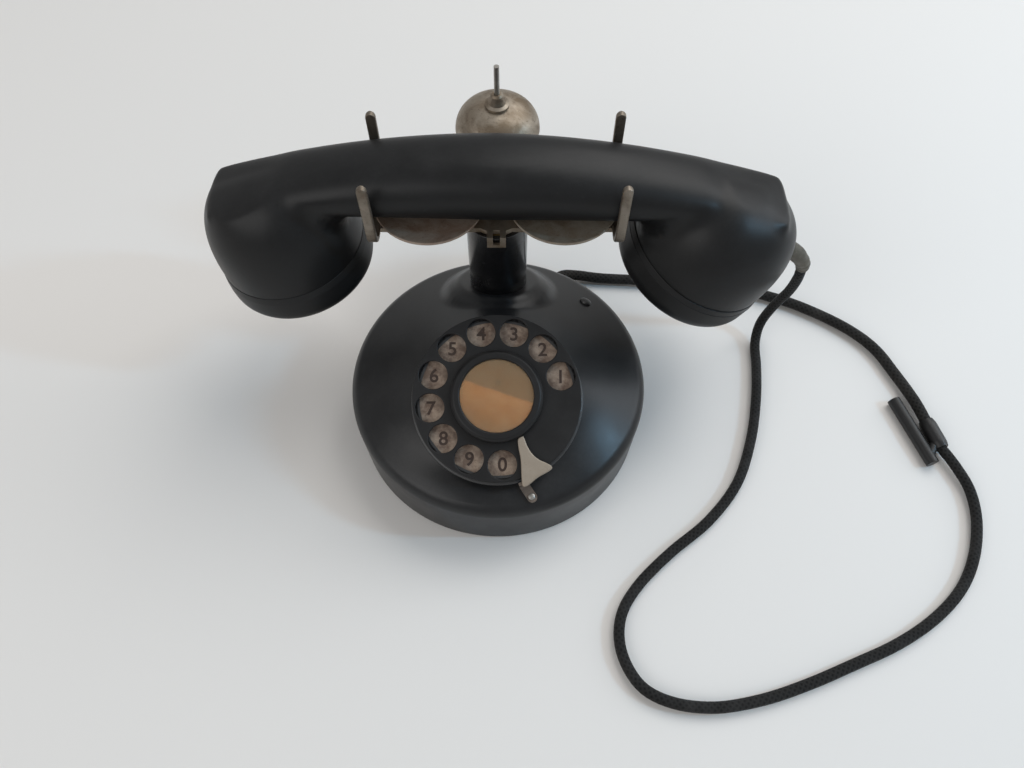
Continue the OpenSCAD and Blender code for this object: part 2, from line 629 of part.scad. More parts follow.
module governor() color(BRASS) at_governor() {
    translate([0, 0, case_floor_z - case_floor_t + 0.3]) cylinder(r = governor_spindle_r, h = 17.3, $fn = 24);
    rotate([0, 0, governor_mesh_turn]) translate([0, 0, fine_gear_z - 0.5])
        gear(fine_module, fine_pinion_teeth, 2);
    translate([0, 0, case_floor_z + 2]) {
        cylinder(r = 2, h = 4, $fn = 24);
        for (a = [0, 180]) rotate([0, 0, a]) translate([0, -1, 0]) {
            cube([3.6, 2, 1.4]);
            translate([3, 1, 0]) cylinder(r = 1.6, h = 4, $fn = 24);
        }
    }
}
// A gap of the fine pinion faces the tooth, or the tooth the gap, of the fine wheel
fine_phase = governor_turn * fine_teeth / 360;
governor_mesh_turn = 180 / fine_pinion_teeth - (fine_phase - round(fine_phase)) * 360 / fine_pinion_teeth;

// --- Bell
module bell_bracket() color(NICKEL) difference() {
    union() {
        // Saddle that is soldered to the back of the column
        translate([0, stem_y, clamp_top - clamp_h]) linear_extrude(clamp_h) intersection() {
            circle(stem_r + clamp_t);
            translate([-stem_r, saddle_y]) square(2 * stem_r);
        }
        translate([-4.5, stem_y + stem_r, clamp_top - arm_t]) cube([9, bell_back - stem_r, arm_t]);
        translate([0, bell_y, clamp_top - arm_t]) cylinder(r = 4.5, h = arm_t, $fn = 48);
        // Lug that carries the coil and the striker's pin
        translate([-13, bell_y - 3, clamp_top - arm_t]) cube([12, 15, arm_t]);
    }
    translate([0, stem_y, clamp_top - clamp_h - 1]) cylinder(r = stem_r + fit, h = clamp_h + 2);
    translate([0, bell_y, clamp_top - 4]) cylinder(r = post_r + fit, h = 6, $fn = 48);
    translate([striker_x, bell_y + striker_y, clamp_top - 4]) cylinder(r = 1 + fit, h = 6, $fn = 24);
}

bell_top = bell_z + bell_h;
module bell_post() color(STEEL) translate([0, bell_y, 0]) {
    translate([0, 0, clamp_top - arm_t]) cylinder(r = post_r, h = post_top - clamp_top + arm_t, $fn = 48);
    translate([0, 0, clamp_top]) cylinder(r = 2.6, h = bell_z + bell_side(bell_t)[11].y - clamp_top, $fn = 48);
}

// Outline of the bell's side at its rim and crown, moved inwards by t
function bell_side(t) = [for (a = [0 : 7.5 : 90.1])
    [(bell_r - t) * pow(max(0, cos(a)), 0.72), (bell_h - t) * pow(sin(a), 0.95)]];
module bell() color(NICKEL) translate([0, bell_y, bell_z]) difference() {
    rotate_extrude() polygon(concat(bell_side(0), [[0, bell_h - bell_t]],
        [for (i = [12 : -1 : 0]) bell_side(bell_t)[i]]));
    cylinder(r = post_r + fit, h = bell_h + 2, $fn = 48);
}

module bell_nut() color(NICKEL) translate([0, bell_y, bell_top]) difference() {
    rotate_extrude() polygon([[0, 0], [nut_r, 0], [nut_r, 1.2], [nut_r - 1.4, 2], [post_r + 1.6, nut_h - 0.8],
        [post_r + 0.9, nut_h], [0, nut_h]]);
    translate([0, 0, -1]) cylinder(r = post_r + fit, h = nut_h + 2, $fn = 48);
}

module bell_coil() color(BROWN) translate([-9.5, bell_y, clamp_top]) cylinder(r = 3.2, h = 9, $fn = 48);

// The striker turns on a pin beside the coil; its ball stands just inside the bell's rim
striker_x = -9;
striker_y = 8;
striker_arm_z = bell_z + 1.1;
striker_ball_r = 1.6;
striker_clear = 0.8;
striker_turn = 78.8;
ball_ring = bell_r - bell_t - striker_clear - striker_ball_r;
striker_ball = [ball_ring * cos(striker_turn), ball_ring * sin(striker_turn)];
module bell_striker() color(STEEL) translate([0, bell_y, 0]) {
    translate([striker_x, striker_y, clamp_top - arm_t])
        cylinder(r = 1, h = striker_arm_z + 1 - clamp_top + arm_t, $fn = 24);
    translate([striker_x, striker_y, clamp_top]) cylinder(r = 2, h = 1, $fn = 24);
    translate([striker_x, striker_y, striker_arm_z])
        rotate([0, 0, atan2(striker_ball.y - striker_y, striker_ball.x - striker_x)]) translate([0, -0.5, 0])
        cube([norm(striker_ball - [striker_x, striker_y]), 1, 1]);
    translate([striker_ball.x, striker_ball.y, striker_arm_z + 0.5]) sphere(striker_ball_r, $fn = 24);
}

// --- Cradle
module cradle_bridge() color(NICKEL) translate([0, stem_y, 0]) difference() {
    union() {
        translate([0, 0, bar_bottom]) linear_extrude(bar_t) {
            rounded_rect(2 * fork_x + fork_w, 2 * bar_y, 3);
            circle(hub_r);
        }
        // Slotted tongue that hangs in front of the column
        translate([-tongue_w / 2, -tongue_y - tongue_t, bar_top - tongue_t])
            cube([tongue_w, tongue_y + tongue_t - bar_y + 1, tongue_t]);
        translate([-tongue_w / 2, -tongue_y - tongue_t, bar_top - tongue_h])
            cube([tongue_w, tongue_t, tongue_h]);
    }
    translate([-tongue_slot / 2, -tongue_y - tongue_t - 1, bar_top - tongue_h + 1.7])
        cube([tongue_slot, tongue_y + tongue_t - bar_y, tongue_h]);
    translate([0, 0, bar_bottom - 1]) cylinder(r = rod_neck_r + fit, h = bar_t + 2);
}

module bowl() rotate_extrude() polygon(concat(
    [[0, bar_top], [6, bar_top]],
    [for (k = [3 : 10]) let (r = bowl_r * k / 10) [r, seat_z - bowl_d * (1 - pow(k / 10, 2)) - bowl_t]],
    [[bowl_r + 0.4, seat_z - bowl_t / 2]],
    [for (k = [10 : -1 : 0]) [bowl_r * k / 10, seat_z - bowl_d * (1 - pow(k / 10, 2))]]));
module cradle_bowls() color(NICKEL) for (x = [-bowl_x, bowl_x]) translate([x, stem_y, 0]) bowl();

// A flat strap bent up at both ends, with round tips
module fork() translate([0, stem_y, bar_top]) {
    bend = fork_bend + fork_t;
    straight = seat_z + prong_h - fork_w / 2 - bar_top;
    translate([-fork_w / 2, 0, 0]) rotate([90, 0, 90]) linear_extrude(fork_w) difference() {
        union() {
            translate([-prong_y, bend]) square([2 * prong_y, straight - bend]);
            translate([bend - prong_y, 0]) square([2 * (prong_y - bend), bend]);
            for (i = [-1, 1]) translate([i * (prong_y - bend), bend]) circle(bend);
        }
        translate([fork_t - prong_y, bend]) square([2 * (prong_y - fork_t), straight]);
        translate([bend - prong_y, fork_t]) square([2 * (prong_y - bend), bend]);
        for (i = [-1, 1]) translate([i * (prong_y - bend), bend]) circle(fork_bend);
    }
    for (y = [-prong_y, prong_y - fork_t]) translate([0, y + fork_t, straight]) rotate([90, 0, 0])
        cylinder(r = fork_w / 2, h = fork_t, $fn = 48);
}
module left_fork() color(NICKEL) translate([-fork_x, 0, 0]) fork();
module right_fork() color(NICKEL) translate([fork_x, 0, 0]) fork();

module cradle_rod() color(STEEL) translate([0, stem_y, 0]) {
    rotate_extrude() polygon([[0, rod_bottom], [rod_r, rod_bottom], [rod_r, rod_collar_z],
        [rod_collar_r, rod_collar_z], [rod_collar_r, rod_collar_z + 2], [rod_r, rod_collar_z + 2],
        [rod_r, bar_bottom], [rod_neck_r, bar_bottom], [rod_neck_r, bar_top], [4, bar_top],
        [3.2, bar_top + 1.6], [0, bar_top + 1.6]]);
}

// A coil spring between the lower guide and the collar on the rod
module cradle_spring() color(STEEL) translate([0, stem_y, 0]) {
    z0 = spring_foot + spring_wire_r + 0.1;
    z1 = rod_collar_z - spring_wire_r - 0.1;
    turn_steps = 10;
    path = [for (i = [0 : spring_turns * turn_steps]) let (a = 360 * i / turn_steps)
        [spring_r * cos(a), spring_r * sin(a), z0 + (z1 - z0) * i / (spring_turns * turn_steps)]];
    sweep(path, [for (p = path) spring_wire_r], 6, [0, 1, 0], [0, 1, 0]);
}

// --- Handset
function back_z(x) = grip_top - arch_r + sqrt(arch_r * arch_r - x * x);
function grip_half_y(x) = grip_y * (1 - 0.057 * pow(abs(x) / 40, 1.2));
squareness = 2.3;
// Section of the handle at x: flat-sided oval between the saddles' height and the back
function grip_section(x) = [for (k = [0 : 27]) let (a = -360 * k / 28, h = (back_z(x) - grip_bottom) / 2)
    [x, grip_half_y(x) * sign(cos(a)) * pow(abs(cos(a)), 2 / squareness),
        grip_bottom + h + h * sign(sin(a)) * pow(abs(sin(a)), 2 / squareness)]];
// A cup with its neck: r is its radius at the cap, h its whole height above the cap's face
module cup(r, h) rotate_extrude() polygon(concat(
    [[0, neck_z], [r - neck_step, neck_z], [r - neck_step, cap_h]],
    [for (k = [0 : 12]) let (u = sin(7.5 * k))
        [r * sqrt(1 - pow(u, cup_roundness)), cap_h + u * (h - cap_h)]]));
module handset_handle() color(BLACK) difference() {
    union() {
        at_handset() skin([for (i = [-14 : 14]) grip_section(handle_l * i / 14)]);
        intersection() {
            union() {
                at_ear() cup(ear_cup_r, ear_cup_h);
                at_mouth() cup(mouth_cup_r, mouth_cup_h);
            }
            // Everything below the arched and slightly crowned back
            at_handset() translate([0, 0, grip_top - arch_r]) rotate([90, 0, 0]) rotate_extrude($fn = 360) {
                translate([arch_r - crown_of_back, 0]) circle(crown_of_back);
                translate([arch_r - 100, -60]) square([100 - crown_depth, 120]);
            }
        }
        at_mouth() translate([20, 0, elbow_s]) rotate([0, 90, 0])
            cylinder(r = elbow_seat_r, h = elbow_out - 20);
    }
    at_ear() translate([0, 0, neck_z - 1])
        cylinder(r = ear_cup_r - neck_step - neck_t, h = ear_depth - neck_z + 1);
    at_mouth() {
        translate([0, 0, neck_z - 1])
            cylinder(r = mouth_cup_r - neck_step - neck_t, h = mouth_depth - neck_z + 1);
        translate([elbow_out - 5, 0, elbow_s]) rotate([0, 90, 0]) cylinder(r = elbow_pin_r + fit, h = 10);
    }
}

// A screwed cap with a rounded edge; r is its radius, neck the radius of the neck inside it
module cap(r, neck, edge, dish) rotate_extrude() polygon(concat(
    [[0, dish], [r - edge - 7, dish * 0.7], [r - edge - 2, 0.3], [r - edge, 0]],
    [for (a = [-90 : 15 : 0]) [r - edge + edge * cos(a), edge + edge * sin(a)]],
    [[r, cap_h - 0.6], [r - 0.6, cap_h], [neck + fit, cap_h], [neck + fit, cap_face], [0, cap_face]]));
ear_neck_r = ear_cup_r - neck_step;
mouth_neck_r = mouth_cup_r - neck_step;
module ear_cap() color(BLACK) at_ear() difference() {
    cap(ear_r, ear_neck_r, 5, 3);
    translate([0, 0, -1]) cylinder(r = 4, h = cap_face + 2);
}
module mouthpiece() color(BLACK) at_mouth() difference() {
    cap(mouth_r, mouth_neck_r, 7, 2);
    for (a = [0 : 60 : 300]) rotate([0, 0, a]) translate([7, 0, -1])
        cylinder(r = 1.7, h = cap_face + 2, $fn = 24);
    translate([0, 0, -1]) cylinder(r = 1.7, h = cap_face + 2, $fn = 24);
}
module ear_diaphragm() color(STEEL) at_ear() translate([0, 0, cap_face + 0.1])
    cylinder(r = ear_neck_r - fit, h = diaphragm_t);
module ear_unit() color(BRASS) at_ear() rotate_extrude() polygon([[0, neck_z + 0.6], [9, neck_z + 0.6],
    [9, neck_z + 5], [ear_neck_r - neck_t - fit, neck_z + 5],
    [ear_neck_r - neck_t - fit, ear_depth], [0, ear_depth]]);
module mouth_unit() color(BRASS) at_mouth() rotate_extrude() polygon([[0, neck_z], [18, neck_z],
    [mouth_neck_r - neck_t - fit, neck_z + 1.5],
    [mouth_neck_r - neck_t - fit, mouth_depth], [0, mouth_depth]]);

// Rubber elbow from the cup's side to the cord
function mouth_point(radial) = let (x = mouth_x + radial * cos(mouth_tilt) + elbow_s * sin(mouth_tilt))
    [x * cos(handset_turn), stem_y + x * sin(handset_turn),
        mouth_z - radial * sin(mouth_tilt) + elbow_s * cos(mouth_tilt)];
cord_start = unit(HANDSET_ROUTE[1] - HANDSET_ROUTE[0]);
module cord_elbow() color(BROWN) {
    path = [mouth_point(elbow_out - 4), mouth_point(elbow_out), mouth_point(elbow_out + 0.01),
        mouth_point(elbow_out + 3), [132.6, 40.9, 75.8], [136.8, 41, 72.4], [140.6, 41.1, 67.6],
        HANDSET_ROUTE[0] - 2.6 * cord_start, HANDSET_ROUTE[0]];
    sweep(path, [elbow_pin_r, elbow_pin_r, 6, 6, 5.4, 4.8, 4.2, 3.6, 3.3], 16,
        mouth_point(1) - mouth_point(0),
        cord_start);
}

// --- Cords and the clip between them
clip_line = unit(BASE_ROUTE[0] - HANDSET_ROUTE[len(HANDSET_ROUTE) - 1]);
bush_line = [-cos(bush_turn), -sin(bush_turn), 0];
module cord(route, d, first, final) {
    path = smooth(route, 2);
    sweep(path, [for (p = path) d / 2], 10, first, final);
}
module handset_cord() color(BLACK) cord(HANDSET_ROUTE, cord_d, cord_start, clip_line);
module base_cord() color(BLACK) cord(BASE_ROUTE, base_cord_d, clip_line, bush_line);
stub = [[201.5, 0, 3.2], [211, -30.5, 3.2]];
module cord_clip() color(BLACK) {
    from = HANDSET_ROUTE[len(HANDSET_ROUTE) - 1];
    to = BASE_ROUTE[0];
    translate(from) rotate([0, 0, atan2(clip_line.y, clip_line.x)]) rotate([0, 90, 0])
        cylinder(r = clip_r, h = norm(to - from), $fn = 32);
    hull() for (p = stub) translate(p) sphere(3.2, $fn = 24);
    hull() {
        translate(stub[1]) sphere(2.4, $fn = 24);
        translate(from + 5 * clip_line) sphere(2.4, $fn = 24);
    }
}

base_shell();
base_plate();
felt_disc();
base_screws();
dome_screw();
stem_tube();
stem_nut();
rod_guides();
dial_case();
dial_bush();
number_plate();
finger_stop();
stop_screw();
gear_plate();
pulse_springs();
spring_barrel();
switch_frame();
switch_springs();
terminal_block();
terminal_screws();
cord_bush();
bell_bracket();
bell_post();
bell();
bell_nut();
bell_coil();
bell_striker();
finger_wheel();
card_ring();
number_card();
card_window();
dial_shaft();
main_gear();
pulse_pinion();
pulse_cam();
governor();
cradle_bridge();
cradle_bowls();
left_fork();
right_fork();
cradle_rod();
cradle_spring();
handset_handle();
ear_cap();
ear_unit();
ear_diaphragm();
mouthpiece();
mouth_unit();
cord_elbow();
handset_cord();
base_cord();
cord_clip();
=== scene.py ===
import bpy, bmesh, math
import numpy as np
from mathutils import Matrix, Vector


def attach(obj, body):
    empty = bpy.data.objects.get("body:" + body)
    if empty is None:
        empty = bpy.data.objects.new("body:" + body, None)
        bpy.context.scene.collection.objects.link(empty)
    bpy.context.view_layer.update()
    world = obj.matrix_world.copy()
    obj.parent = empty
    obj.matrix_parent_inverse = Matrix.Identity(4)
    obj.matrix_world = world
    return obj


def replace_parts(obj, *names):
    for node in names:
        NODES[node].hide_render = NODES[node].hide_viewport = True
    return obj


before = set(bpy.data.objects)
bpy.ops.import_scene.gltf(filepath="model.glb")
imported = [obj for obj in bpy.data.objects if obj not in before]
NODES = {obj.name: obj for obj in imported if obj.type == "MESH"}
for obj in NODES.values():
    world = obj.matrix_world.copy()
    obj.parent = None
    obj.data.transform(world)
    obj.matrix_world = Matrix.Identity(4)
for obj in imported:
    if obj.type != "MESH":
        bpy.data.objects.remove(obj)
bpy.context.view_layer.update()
MM = 0.001                  # pieces are worked out in millimetres, Blender holds metres
rad = math.radians

# Sizes shared with the solids, in millimetres and degrees
BASE_R, WALL_H, SHOULDER_R, BRIM_SLOPE = 69.8, 27.4, 7.2, 28.0
DIAL_Y, DIAL_Z, TILT, RIM_R = 22.0, 49.1, 20.0, 38.1
HOLE_RING, HOLE_R, FIRST_HOLE, HOLE_STEP = 29.5, 6.3, 18.3, 28.5
WHEEL_R, WHEEL_BACK, WHEEL_FRONT, WHEEL_BORE = 37.0, 6.0, 7.3, 15.0
STEM_Y, STEM_R, STEM_BORE = 43.6, 13.5, 11.6
REST_Z = 105                # rim of the bowls, on which the handset lies
BOWL_X, BOWL_R, BOWL_DEPTH, BOWL_T = 28.4, 23.2, 5, 1.2
FORK_X, FORK_W, FORK_T, FORK_Y, FORK_FOOT, FORK_H = 51, 4.2, 2.4, 21.4, 98.8, 29
BELL_Y, BELL_Z, BELL_R, BELL_H, BELL_T = 91.6, 100.3, 19.3, 13, 1.4
GRIP_B, GRIP_T, ARCH_R = 105.3, 132.9, 318.0
CUP_FOOT = 14               # height at which a cup's wall begins, in the frame of its cap
ELBOW_Z = 32                # height of the rubber elbow's root, in the frame of the mouthpiece
HANDSET_CORD_D, BASE_CORD_D, BUSH_TURN = 5.0, 5.6, 68

DIAL = Matrix.Translation((0, -DIAL_Y, DIAL_Z)) @ Matrix.Rotation(rad(TILT), 4, "X")
AT_STEM = Matrix.Translation((0, STEM_Y, 0))
HANDSET = AT_STEM @ Matrix.Rotation(rad(-1.2), 4, "Z")
EAR = HANDSET @ Matrix.Translation((-91.2, 0, REST_Z - 44.5)) @ Matrix.Rotation(rad(-8.5), 4, "Y")
MOUTH = HANDSET @ Matrix.Translation((84.8, 0, REST_Z - 41.7)) @ Matrix.Rotation(rad(25.5), 4, "Y")

# Choices that belong to the scene alone
CAMERA_AT, CAMERA_TILT, LENS = (0.0066, -0.1905, 0.362), 29.4, 28.125
WORLD_LIGHT = 0.36
SHADOW_EDGE, SHADOW_SLANT = 0.0224, 0.32        # where the edge of the shadow painted on the card lies, in metres, and its slope
CARD_SPECK, SPECK_R = (0.6, 5.6, 9.4), 2.0  # dark speck on the card, in the dial's frame
DIGIT_SIZE, DIGIT_Z = 8.4, 3.63
BAR_LEFT, BAR_RIGHT = 121.3, 122.6          # reach of the handset's bar to both sides
BAR_HALF = 18.8             # its half width
CLOSING = 7.0               # how far the handset's surface is grown and shrunk again
COARSE, FINE = 1.0, 0.8     # voxels of that step and of the last one

# ---------------------------------------------------------------- camera
cam_data = bpy.data.cameras.new("camera")
cam_data.sensor_width, cam_data.lens = 36.0, LENS
cam_data.clip_start, cam_data.clip_end = 0.01, 20
cam = bpy.data.objects.new("camera", cam_data)
cam.location, cam.rotation_euler = CAMERA_AT, (rad(CAMERA_TILT), 0, 0)
bpy.context.scene.collection.objects.link(cam)
bpy.context.scene.camera = cam


# ---------------------------------------------------------------- mesh helpers (mm in, metres out)
def make(name, verts, faces, mat=None, sharp=35, uv=None, matrix=None):
    """Links a mesh object; edges sharper than the given angle in degrees stay sharp."""
    v = np.asarray(verts, float)
    if matrix is not None:
        m = np.array(matrix)
        v = v @ m[:3, :3].T + m[:3, 3]
    mesh = bpy.data.meshes.new(name)
    mesh.from_pydata((v * MM).tolist(), [], [tuple(f) for f in faces])
    if uv is not None:
        layer = mesh.uv_layers.new(name="UVMap")
        idx = np.empty(len(mesh.loops), int)
        mesh.loops.foreach_get("vertex_index", idx)
        layer.data.foreach_set("uv", np.asarray(uv, float)[idx].ravel())
    bm = bmesh.new()
    bm.from_mesh(mesh)
    bmesh.ops.recalc_face_normals(bm, faces=bm.faces)
    bm.to_mesh(mesh)
    bm.free()
    mesh.polygons.foreach_set("use_smooth", [True] * len(mesh.polygons))
    mesh.set_sharp_from_angle(angle=rad(sharp))
    ob = bpy.data.objects.new(name, mesh)
    bpy.context.scene.collection.objects.link(ob)
    if mat:
        mesh.materials.append(mat)
    return ob


def level_ring(r, z, n):
    """n points round the z axis."""
    return [(r * math.cos(2 * math.pi * k / n), r * math.sin(2 * math.pi * k / n), z) for k in range(n)]


def grid_faces(rings, n, close=True, first=False, last=False):
    """Quads between rings of n points each, with a cap on the first or the last ring."""
    f = []
    for i in range(rings - 1):
        for k in range(n if close else n - 1):
            j = (k + 1) % n
            f.append((i * n + k, i * n + j, (i + 1) * n + j, (i + 1) * n + k))
    if first:
        f.append(tuple(range(n))[::-1])
    if last:
        f.append(tuple((rings - 1) * n + k for k in range(n)))
    return f


def lathe(name, profile, mat, n, matrix, close=False):
    """Turns a profile of (r, z) about z. A closed profile makes a ring."""
    verts, rows = [], []
    for r, z in profile:
        if r < 1e-6:
            rows.append([len(verts)])
            verts.append((0, 0, z))
        else:
            rows.append(list(range(len(verts), len(verts) + n)))
            verts += level_ring(r, z, n)
    faces = []
    pairs = list(zip(rows, rows[1:])) + ([(rows[-1], rows[0])] if close else [])
    for a, b in pairs:
        for k in range(n):
            j = (k + 1) % n
            if len(a) == 1 and len(b) == 1:
                continue
            if len(a) == 1:
                faces.append((a[0], b[k], b[j]))
            elif len(b) == 1:
                faces.append((a[k], a[j], b[0]))
            else:
                faces.append((a[k], a[j], b[j], b[k]))
    return make(name, verts, faces, mat, matrix=matrix)


def rounded(profile, r):
    """Rounds the corners of an open profile, with five points to each."""
    out = [profile[0]]
    for i in range(1, len(profile) - 1):
        a, b, c = (np.array(p, float) for p in profile[i - 1:i + 2])
        u, v = a - b, c - b
        d = min(r, 0.45 * np.linalg.norm(u), 0.45 * np.linalg.norm(v))
        if d < 1e-4:
            out.append(tuple(b))
            continue
        p, q = b + u / np.linalg.norm(u) * d, b + v / np.linalg.norm(v) * d
        for t in np.linspace(0, 1, 5):
            out.append(tuple((1 - t) ** 2 * p + 2 * t * (1 - t) * b + t * t * q))
    return out + [profile[-1]]


def spline(points, n):
    """Catmull-Rom through all points, n steps to each stretch."""
    p = np.asarray(points, float)
    out = []
    for i in range(len(p) - 1):
        a, b, c, d = p[max(i - 1, 0)], p[i], p[i + 1], p[min(i + 2, len(p) - 1)]
        for j in range(n):
            t = j / n
            out.append(b + t * (c - a) / 2 + t * t * (a - 2.5 * b + 2 * c - d / 2)
                       + t ** 3 * (-a + 3 * b - 3 * c + d) / 2)
    return np.array(out + [p[-1]])


def frames(path, first=None, last=None):
    """Two cross directions at each point of a path, carried along without twist."""
    t = np.gradient(path, axis=0)
    if first is not None:
        t[0] = first
    if last is not None:
        t[-1] = last
    t /= np.linalg.norm(t, axis=1)[:, None]
    u = np.array([0, 0, 1.0]) if abs(t[0][2]) < 0.9 else np.array([0, 1.0, 0])
    us = []
    for k in t:
        u = u - (u @ k) * k
        u /= np.linalg.norm(u)
        us.append(u)
    us = np.array(us)
    return us, np.cross(us, t)


def tube(name, path, radii, mat, sides, first=None, last=None):
    """A capped tube. Its UV is the length run in mm and the share of a turn."""
    path = np.asarray(path, float)
    radii = np.broadcast_to(radii, (len(path),))
    u, v = frames(path, first, last)
    s = np.concatenate([[0], np.cumsum(np.linalg.norm(np.diff(path, axis=0), axis=1))])
    verts, uv = [], []
    for i in range(len(path)):
        for k in range(sides + 1):
            a = 2 * math.pi * k / sides
            verts.append(path[i] + radii[i] * (math.cos(a) * u[i] + math.sin(a) * v[i]))
            uv.append((s[i], k / sides))
    n = sides + 1
    faces = grid_faces(len(path), n, close=False)
    faces += [tuple(range(sides))[::-1], tuple((len(path) - 1) * n + k for k in range(sides))]
    return make(name, verts, faces, mat, 60, uv=uv)


def outline_plate(name, loops, z0, z1, bevel, mat, matrix, grow=0.0):
    """A flat plate with rounded edges: the first outline is the outside, the rest are holes."""
    cu = bpy.data.curves.new(name, "CURVE")
    cu.dimensions, cu.fill_mode = "2D", "BOTH"
    for loop in loops:
        sp = cu.splines.new("POLY")
        sp.points.add(len(loop) - 1)
        for p, (x, y) in zip(sp.points, loop):
            p.co = (x, y, 0, 1)
        sp.use_cyclic_u = True
    cu.extrude = (z1 - z0) / 2 - bevel
    cu.bevel_depth, cu.bevel_resolution, cu.offset = bevel, 3, grow - bevel
    tmp = bpy.data.objects.new(name + "_tmp", cu)
    bpy.context.scene.collection.objects.link(tmp)
    bpy.context.view_layer.update()
    mesh = tmp.evaluated_get(bpy.context.evaluated_depsgraph_get()).to_mesh()
    v = [(q.co.x, q.co.y, q.co.z + (z0 + z1) / 2) for q in mesh.vertices]
    f = [tuple(q.vertices) for q in mesh.polygons]
    tmp.to_mesh_clear()
    bpy.data.objects.remove(tmp)
    ob = make(name, v, f, mat, 40, matrix=matrix)
    bm = bmesh.new()
    bm.from_mesh(ob.data)
    bmesh.ops.remove_doubles(bm, verts=bm.verts, dist=1e-6)
    up = matrix.to_3x3() @ Vector((0, 0, 1))
    for face in bm.faces:       # the two flat sides are shaded flat
        face.smooth = abs(face.normal.normalized().dot(up)) < 0.9995
    bm.to_mesh(ob.data)
    bm.free()
    return ob


def circle(r, n, x=0.0, y=0.0):
    return [(x + px, y + py) for px, py, _ in level_ring(r, 0, n)]


def paint(mat, *names):
    """Gives CAD nodes a material."""
    for name in names:
        for s in NODES[name].material_slots:
            s.material = mat


def bevel_node(name, width, mat):
    """Rounds the sharp edges of a CAD node with a modifier and gives it its material."""
    m = NODES[name].modifiers.new("edges", "BEVEL")
    m.width, m.segments, m.limit_method, m.angle_limit = width * MM, 3, "ANGLE", rad(30)
    m.harden_normals = True
    paint(mat, name)


def put(ob, body, slot, *nodes):
    """Puts a piece on its body, in place of the CAD nodes named. slot is not used."""
    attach(ob, body)
    if nodes:
        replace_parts(ob, *nodes)
    return ob


# ---------------------------------------------------------------- materials
class Mat:
    """A small builder for procedural materials. Sizes are in metres, in the object's own coordinates."""

    def __init__(self, name, colour, rough, metallic=0.0, **sockets):
        self.m = bpy.data.materials.new(name)
        self.m.use_nodes = True
        self.t = self.m.node_tree
        self.b = self.t.nodes["Principled BSDF"]
        self.b.inputs["Base Color"].default_value = (*colour, 1)
        self.b.inputs["Roughness"].default_value = rough
        self.b.inputs["Metallic"].default_value = metallic
        for k, v in sockets.items():
            self.b.inputs[k.replace("_", " ")].default_value = v
        self.co = self.t.nodes.new("ShaderNodeTexCoord")
        self.m.diffuse_color = (*colour, 1)

    def node(self, kind, **inputs):
        n = self.t.nodes.new("ShaderNode" + kind)
        for k, v in inputs.items():
            if k in n.inputs:
                self.feed(n.inputs[k], v)
            else:
                setattr(n, k, v)
        return n

    def feed(self, socket, v):
        if isinstance(v, bpy.types.NodeSocket):
            self.t.links.new(v, socket)
        else:
            socket.default_value = v

    def coords(self, scale, rot):
        n = self.node("Mapping")
        n.inputs["Scale"].default_value = scale
        n.inputs["Rotation"].default_value = rot
        self.t.links.new(self.co.outputs["Object"], n.inputs["Vector"])
        return n.outputs["Vector"]

    def noise(self, size, detail=4, rough=0.55, vec=None, distort=0.0):
        n = self.node("TexNoise", Scale=1 / size, Detail=detail, Roughness=rough, Distortion=distort)
        self.feed(n.inputs["Vector"], vec or self.co.outputs["Object"])
        return n.outputs["Fac"]

    def ramp(self, fac, stops, interp="LINEAR"):
        n = self.node("ValToRGB")
        self.feed(n.inputs["Fac"], fac)
        e = n.color_ramp.elements
        n.color_ramp.interpolation = interp
        while len(e) < len(stops):
            e.new(0.5)
        for k, (p, c) in enumerate(stops):
            e[k].position = p
            e[k].color = (*c, 1) if hasattr(c, "__len__") else (c, c, c, 1)
        return n.outputs["Color"]

    def fade(self, fac, low, high):
        """0 up to low and 1 from high on."""
        return self.ramp(fac, [(low, 0.0), (high, 1.0)])

    def mix(self, fac, a, b):
        n = self.node("Mix", data_type="RGBA", blend_type="MIX")
        self.feed(n.inputs[0], fac)
        for i, v in ((6, a), (7, b)):
            self.feed(n.inputs[i], v if isinstance(v, bpy.types.NodeSocket) else (*v, 1))
        return n.outputs[2]

    def math(self, op, a, b=0.0):
        n = self.node("Math", operation=op)
        self.feed(n.inputs[0], a)
        self.feed(n.inputs[1], b)
        return n.outputs[0]

    def times(self, a, b):
        return self.math("MULTIPLY", a, b)

    def plus(self, a, b):
        return self.math("ADD", a, b)

    def colour(self, s):
        self.feed(self.b.inputs["Base Color"], s)

    def rough(self, s):
        self.feed(self.b.inputs["Roughness"], s)

    def bump(self, height, strength, distance):
        n = self.node("Bump", Strength=strength, Distance=distance * MM)
        self.feed(n.inputs["Height"], height)
        self.t.links.new(n.outputs["Normal"], self.b.inputs["Normal"])

    def upward(self):
        """1 on faces that look up, 0 on upright and lower ones."""
        g = self.node("NewGeometry")
        s = self.node("SeparateXYZ")
        self.feed(s.inputs[0], g.outputs["Normal"])
        return self.math("MAXIMUM", s.outputs[2], 0.0)


